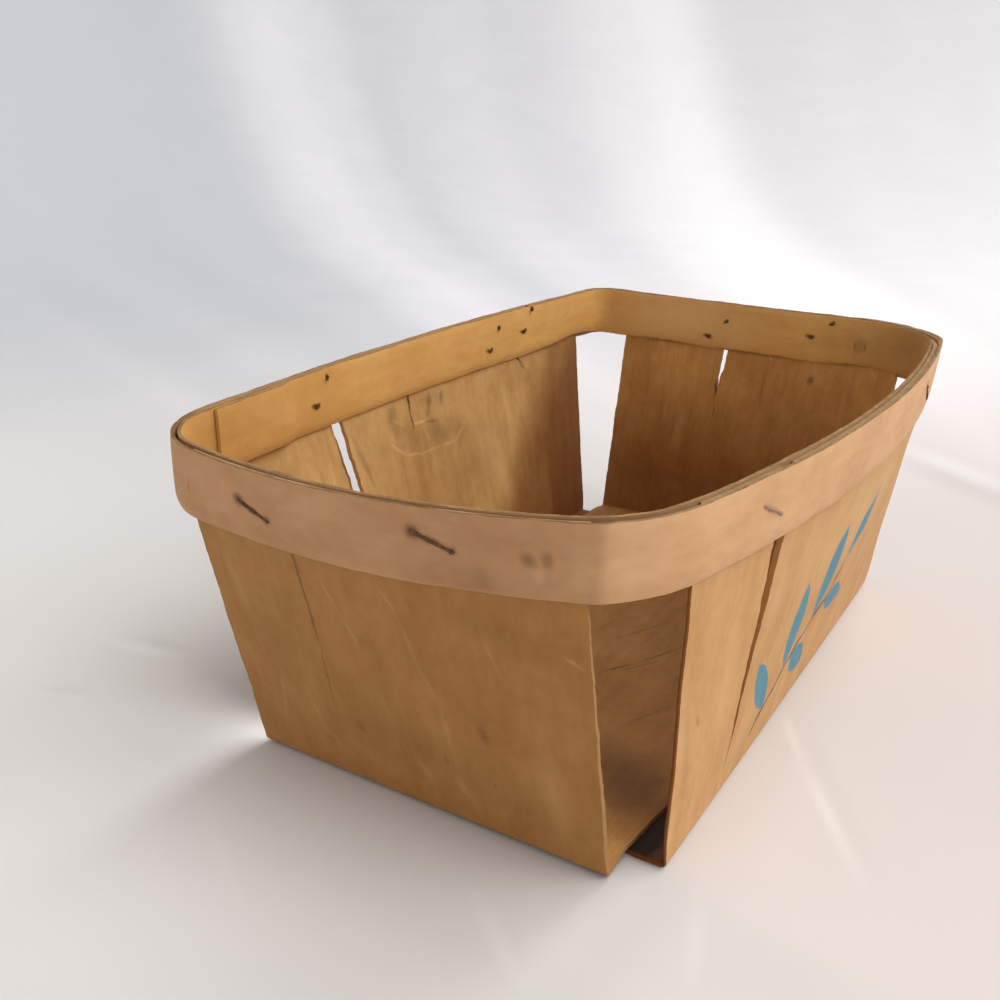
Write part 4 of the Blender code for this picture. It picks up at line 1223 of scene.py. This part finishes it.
rusty_wire = wire_material("rusty_wire", (0.070, 0.032, 0.016, 1), (0.20, 0.092, 0.046, 1), 0.0)
dull_wire = wire_material("dull_wire", (0.30, 0.185, 0.140, 1), (0.46, 0.30, 0.225, 1), 0.1)
for count, shares in enumerate(STAPLE_SHARES, 1):
    centre, crown, normal = staple_frame(*shares)
    flat = staple_path()
    path = centre + flat[:, :1] * crown + flat[:, 1:] * normal
    lumps = wobble(np.linspace(0, STAPLE_WIDTH, len(path)), 60 + count, 0.006, 0.0012, 5)
    radii = WIRE_DIAMETER / 2 + CRUST * lumps
    material = dull_wire if count in DULL_STAPLES else rusty_wire
    staple = wire_object(f"staple_wire_{count}", path, np.cross(crown, normal) + 0 * path, radii, material)
    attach(staple, "root")
    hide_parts(f"rim_staple_{count}")

# The rim bands. Each is a narrow strip of sliced wood bent once round the rim, damp, and lapped over its
# own start. The grain runs along them. The outer one creases where the stiff front wall ends under it, and
# round every staple the wood is stained with rust, inside as dark hollows where the tips went in. Shade is
# painted on the outer band's front up to the crease, and on the inner band towards two corners.
OUTER_LAP_LENGTH = 0.044
INNER_LAP_LENGTH = 0.030
LAP_RAMP = 0.010
OUTER_LAP_PAST_CORNER = 0.020
INNER_LAP_PLACE = -0.1113
BAND_STEP = 0.0013
BAND_LINES = 15
CREASE_PLACE = 0.0606
CREASE_RISE = 0.0010
CREASE_REACH = 0.006
HUG_DEPTH = 0.0013
HUG_REACH = 0.013
BAND_EDGE_WEAR = 0.00012
BAND_WORN_AWAY = 0.0009
BAND_WORN_REACH = 0.0016
LAP_SHAVED_BY = 0.0011
LAP_SHAVED_OVER = 0.014
# Painted shade on the outer band's front, up to its crease, where it turns away from the window.
FRONT_BAND_PAINTED_SHADE = 0.40


def corner_travel(corner):
    """How far along the rim's line the middle of a corner lies."""
    step = SIDE_STATIONS + CORNER_STATIONS
    return RIM_TRAVEL[(corner * step - CORNER_STATIONS // 2) % len(RIM_PLACES)]


def round_to(travel, place):
    """How far a distance along the rim's line lies from a place on it, the shorter way round."""
    return np.abs((travel - place + RIM_ROUND / 2) % RIM_ROUND - RIM_ROUND / 2)


def rim_along(travel):
    """The rim's line at distances along it: its columns and its outward ways."""
    table = np.column_stack([RIM_PLACES, RIM_OUTWARD])
    found = np.column_stack([np.interp(travel, RIM_TRAVEL, table[:, i], period=RIM_ROUND) for i in range(6)])
    return found[:, :4], found[:, 4:] / np.linalg.norm(found[:, 4:], axis=1, keepdims=True)


THIN_PLACES = ((corner_travel(2) + 0.008, 0.0020, 0.026), (corner_travel(3) + 0.022, 0.0026, 0.017))


def band_object(name, depth, lap_step, end, way, lap_length, bend, shade, materials, seed):
    """A strip wound once round the rim and over its own start by one layer, up to its end.

    Its way says whether the distance along the rim's line falls or grows towards the end. The bend adds to
    its depth by the distance along the rim, and the shade gives the painted shade laid on it there. The end
    is shaved thin.
    """
    length = RIM_ROUND + lap_length
    walked = np.linspace(0, length, int(length / BAND_STEP))
    travel = end + way * (length - walked)
    line, ways = rim_along(travel)
    ramp = np.clip((walked - (RIM_ROUND - LAP_RAMP)) / LAP_RAMP, 0, 1)
    depths = depth + lap_step * ramp**2 * (3 - 2 * ramp) + bend(travel)
    shaved = LAP_SHAVED_BY * np.clip(1 - (length - walked) / LAP_SHAVED_OVER, 0, 1) ** 2
    heights = np.linspace(0, BAND_HEIGHT, BAND_LINES)
    faces = []
    worn = BAND_WORN_AWAY * (np.exp(-heights / BAND_WORN_REACH) + 0.3 * np.exp(-heights[::-1] / BAND_WORN_REACH))
    for inset in (worn * (depth == 0), BAND_THICKNESS - worn * (depth > 0)):
        thinner = shaved * (inset[0] < BAND_THICKNESS / 2) * (depth == 0)
        thinner = thinner - shaved * (inset[0] > BAND_THICKNESS / 2) * (depth > 0)
        grid = behind_rim(line, ways, (depths + thinner)[:, None] + inset[None], heights[None])
        low_wear = BAND_EDGE_WEAR * wobble(walked, seed, 0.090, 0.003, 9)
        for place, rise, reach in THIN_PLACES:
            low_wear = low_wear + (depth > 0) * rise * np.exp(-((round_to(travel, place) / reach) ** 2))
        top_wear = BAND_EDGE_WEAR * wobble(walked, seed + 1, 0.090, 0.003, 9)
        up = heights / BAND_HEIGHT
        grid[..., 2] += low_wear[:, None] * (1 - up) + top_wear[:, None] * up
        faces.append(grid + TO_ORIGIN)
    places = np.stack(np.broadcast_arrays(heights[None], travel[:, None]), axis=-1)
    painted_shade_and_tone = np.broadcast_to(shade(travel)[:, None], places.shape[:2])
    outer, inner, places, painted_shade_and_tone = (values[::-way] for values in (*faces, places, painted_shade_and_tone))
    return sheet_object(name, outer, inner, places, materials, (0.0, 1.0), {"painted_shade_and_tone": (painted_shade_and_tone, painted_shade_and_tone)})


def on_band(low, side, marks):
    """Marks on a band, given in millimetres along a side's own axis and above its lower edge."""
    placed = []
    for *ends, width, strength in marks:
        _, _, travel = rim_beside(side, np.array([ends[0][0] * MM, ends[1][0] * MM]))
        first = low + (travel[0] - low) % RIM_ROUND
        placed.append((
            (ends[0][1] * MM, first), (ends[1][1] * MM, first + travel[1] - travel[0]), width * MM, strength
        ))
    return placed


def rust_marks(low, face):
    """The rust round each staple: outside along its crown, inside a dark hollow at each leg."""
    placed = []
    for count, (side_name, along_share, height_share, fall) in enumerate(STAPLE_SHARES, 1):
        side, place = staple_place(side_name, along_share)
        _, _, travel = rim_beside(side, np.array([place]))
        middle = low + (travel[0] - low) % RIM_ROUND
        height = BAND_HEIGHT * height_share
        reach = STAPLE_WIDTH / 2 - STAPLE_BEND / 2
        step = (-math.sin(math.radians(fall)) * reach, math.cos(math.radians(fall)) * reach)
        left = (height - step[0], middle - step[1])
        right = (height + step[0], middle + step[1])
        if face == "inside":
            low_leg, high_leg = sorted((left, right))
            placed.append(((low_leg[0], low_leg[1] - 0.0012), (low_leg[0] + 0.0006, low_leg[1] + 0.0022), 0.0012, 0.95))
            placed.append((high_leg, high_leg, 0.0011, 0.9))
        elif count in DULL_STAPLES:
            placed.append((left, right, 0.0012, 0.25))
        else:
            placed.append((left, right, 0.0013, 0.60))
            placed.append((left, left, 0.0026, 0.75))
            placed.append((right, right, 0.0018, 0.45))
    return placed


outer_end = corner_travel(2) - OUTER_LAP_PAST_CORNER
outer_marks = {
    "dark outside": rust_marks(outer_end, "outside") + on_band(outer_end, 0, [
        ((43, 11), (44, 10), 2.2, 0.45),
        ((48, 12), (48.3, 10), 2.0, 0.40),
        ((31, 6), (33, 2), 3.0, 0.16),
        ((-66, 10), (-66, 9), 1.0, 0.35),
        ((15, 12), (45, 10), 14.0, 0.10),
        ((0, 4), (46, 4), 6.0, 0.16),
    ]),
    "pale outside": on_band(outer_end, 0, [
        ((46, 8), (46, 6), 2.2, 0.22),
        ((56, 14), (56, 4), 4.0, 0.16),
        ((-30, 14), (10, 14), 8.0, 0.08),
    ]),
}
# The bands' lapped ends stand upright and take its pale end tone, a painted highlight of their lit cut faces.
RIM_CUT = cut_edge_material(
    "rim_cut", (0.21, 0.115, 0.052, 1), (0.36, 0.215, 0.100, 1), (0.66, 0.42, 0.17, 1)
)
crease, front_middle = rim_beside(0, np.array([CREASE_PLACE, -0.02]))[2]
outer_band_wood = wood_material(
    "outer_band_wood", 1.7,
    ((0.74, 0.45, 0.235, 1), (0.60, 0.335, 0.160, 1), 0.06, 0.14, 0.52, 0.22, 0.05),
    ((0.52, 0.325, 0.155, 1), (0.40, 0.235, 0.105, 1), 0.2, 0.3, 0.5, 0.2, 0.15),
    0.00004,
    outer_marks,
)
outer_band = band_object(
    "outer_band", 0.0, -LAYER, outer_end, 1, OUTER_LAP_LENGTH,
    lambda travel: -CREASE_RISE * np.exp(-round_to(travel, crease) / CREASE_REACH),
    lambda travel: FRONT_BAND_PAINTED_SHADE / (1 + np.exp((round_to(travel, front_middle) - crease + front_middle) / 0.0009)),
    [outer_band_wood, RIM_CUT], 21,
)
inner_end = rim_beside(3, np.array([INNER_LAP_PLACE]))[2][0]
inner_low = inner_end - RIM_ROUND - INNER_LAP_LENGTH
inner_marks = {
    "dark inside": rust_marks(inner_low, "inside") + on_band(inner_low, 2, [
        ((51.5, 10.5), (51.6, 8.0), 3.4, 0.22),
        ((49.2, 11), (49.2, 7.5), 0.8, 0.34),
        ((54.2, 11), (54.2, 7.5), 0.8, 0.34),
        # Painted shade: a dark line along the far band's lower edge, where it stands off the wall.
        ((-58, 0.4), (-20, 0.3), 0.9, 0.6),
        ((-20, 0.4), (30, 0.2), 0.9, 0.6),
        ((30, 0.3), (60, 0.3), 0.7, 0.45),
        # Painted shade towards the far band's right end.
        ((46, 10), (90, 10), 20.0, 0.16),
    ]) + on_band(inner_low, 3, [
        # Painted shade along the left band's lower edge too.
        ((70, 0.2), (110, 0.2), 0.6, 0.40),
    ]),
    "pale inside": on_band(inner_low, 2, [
        # Painted light over the far band's left half.
        ((-64, 10), (-4, 10), 16.0, 0.50),
        ((-40, 18), (-33, 12), 0.5, 0.3),
        ((-10, 19.5), (40, 20), 0.9, 0.35),
    ]),
}
inner_band_wood = wood_material(
    "inner_band_wood", 2.4,
    ((0.52, 0.325, 0.155, 1), (0.40, 0.235, 0.105, 1), 0.2, 0.3, 0.5, 0.2, 0.15),
    ((0.70, 0.405, 0.130, 1), (0.58, 0.295, 0.078, 1), 0.10, 0.18, 0.45, 0.20, 0.12),
    0.00004,
    inner_marks,
)
inner_band = band_object(
    "inner_band", INNER_BAND_DEPTH, LAYER, inner_end, -1, INNER_LAP_LENGTH,
    lambda travel: -HUG_DEPTH * np.exp(-((round_to(travel, corner_travel(0)) / HUG_REACH) ** 4)),
    # Painted shade, most near the far right corner and less near the near left one.
    lambda travel: (
        0.52 * np.exp(-((round_to(travel, corner_travel(2) - 0.014) / 0.028) ** 2))
        + 0.20 * np.exp(-((round_to(travel, corner_travel(0) - 0.030) / 0.035) ** 2))
    ),
    [inner_band_wood, RIM_CUT], 31,
)
for band, cad_name in ((outer_band, "outer_rim_band"), (inner_band, "inner_rim_band")):
    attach(band, "root")
    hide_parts(cad_name)
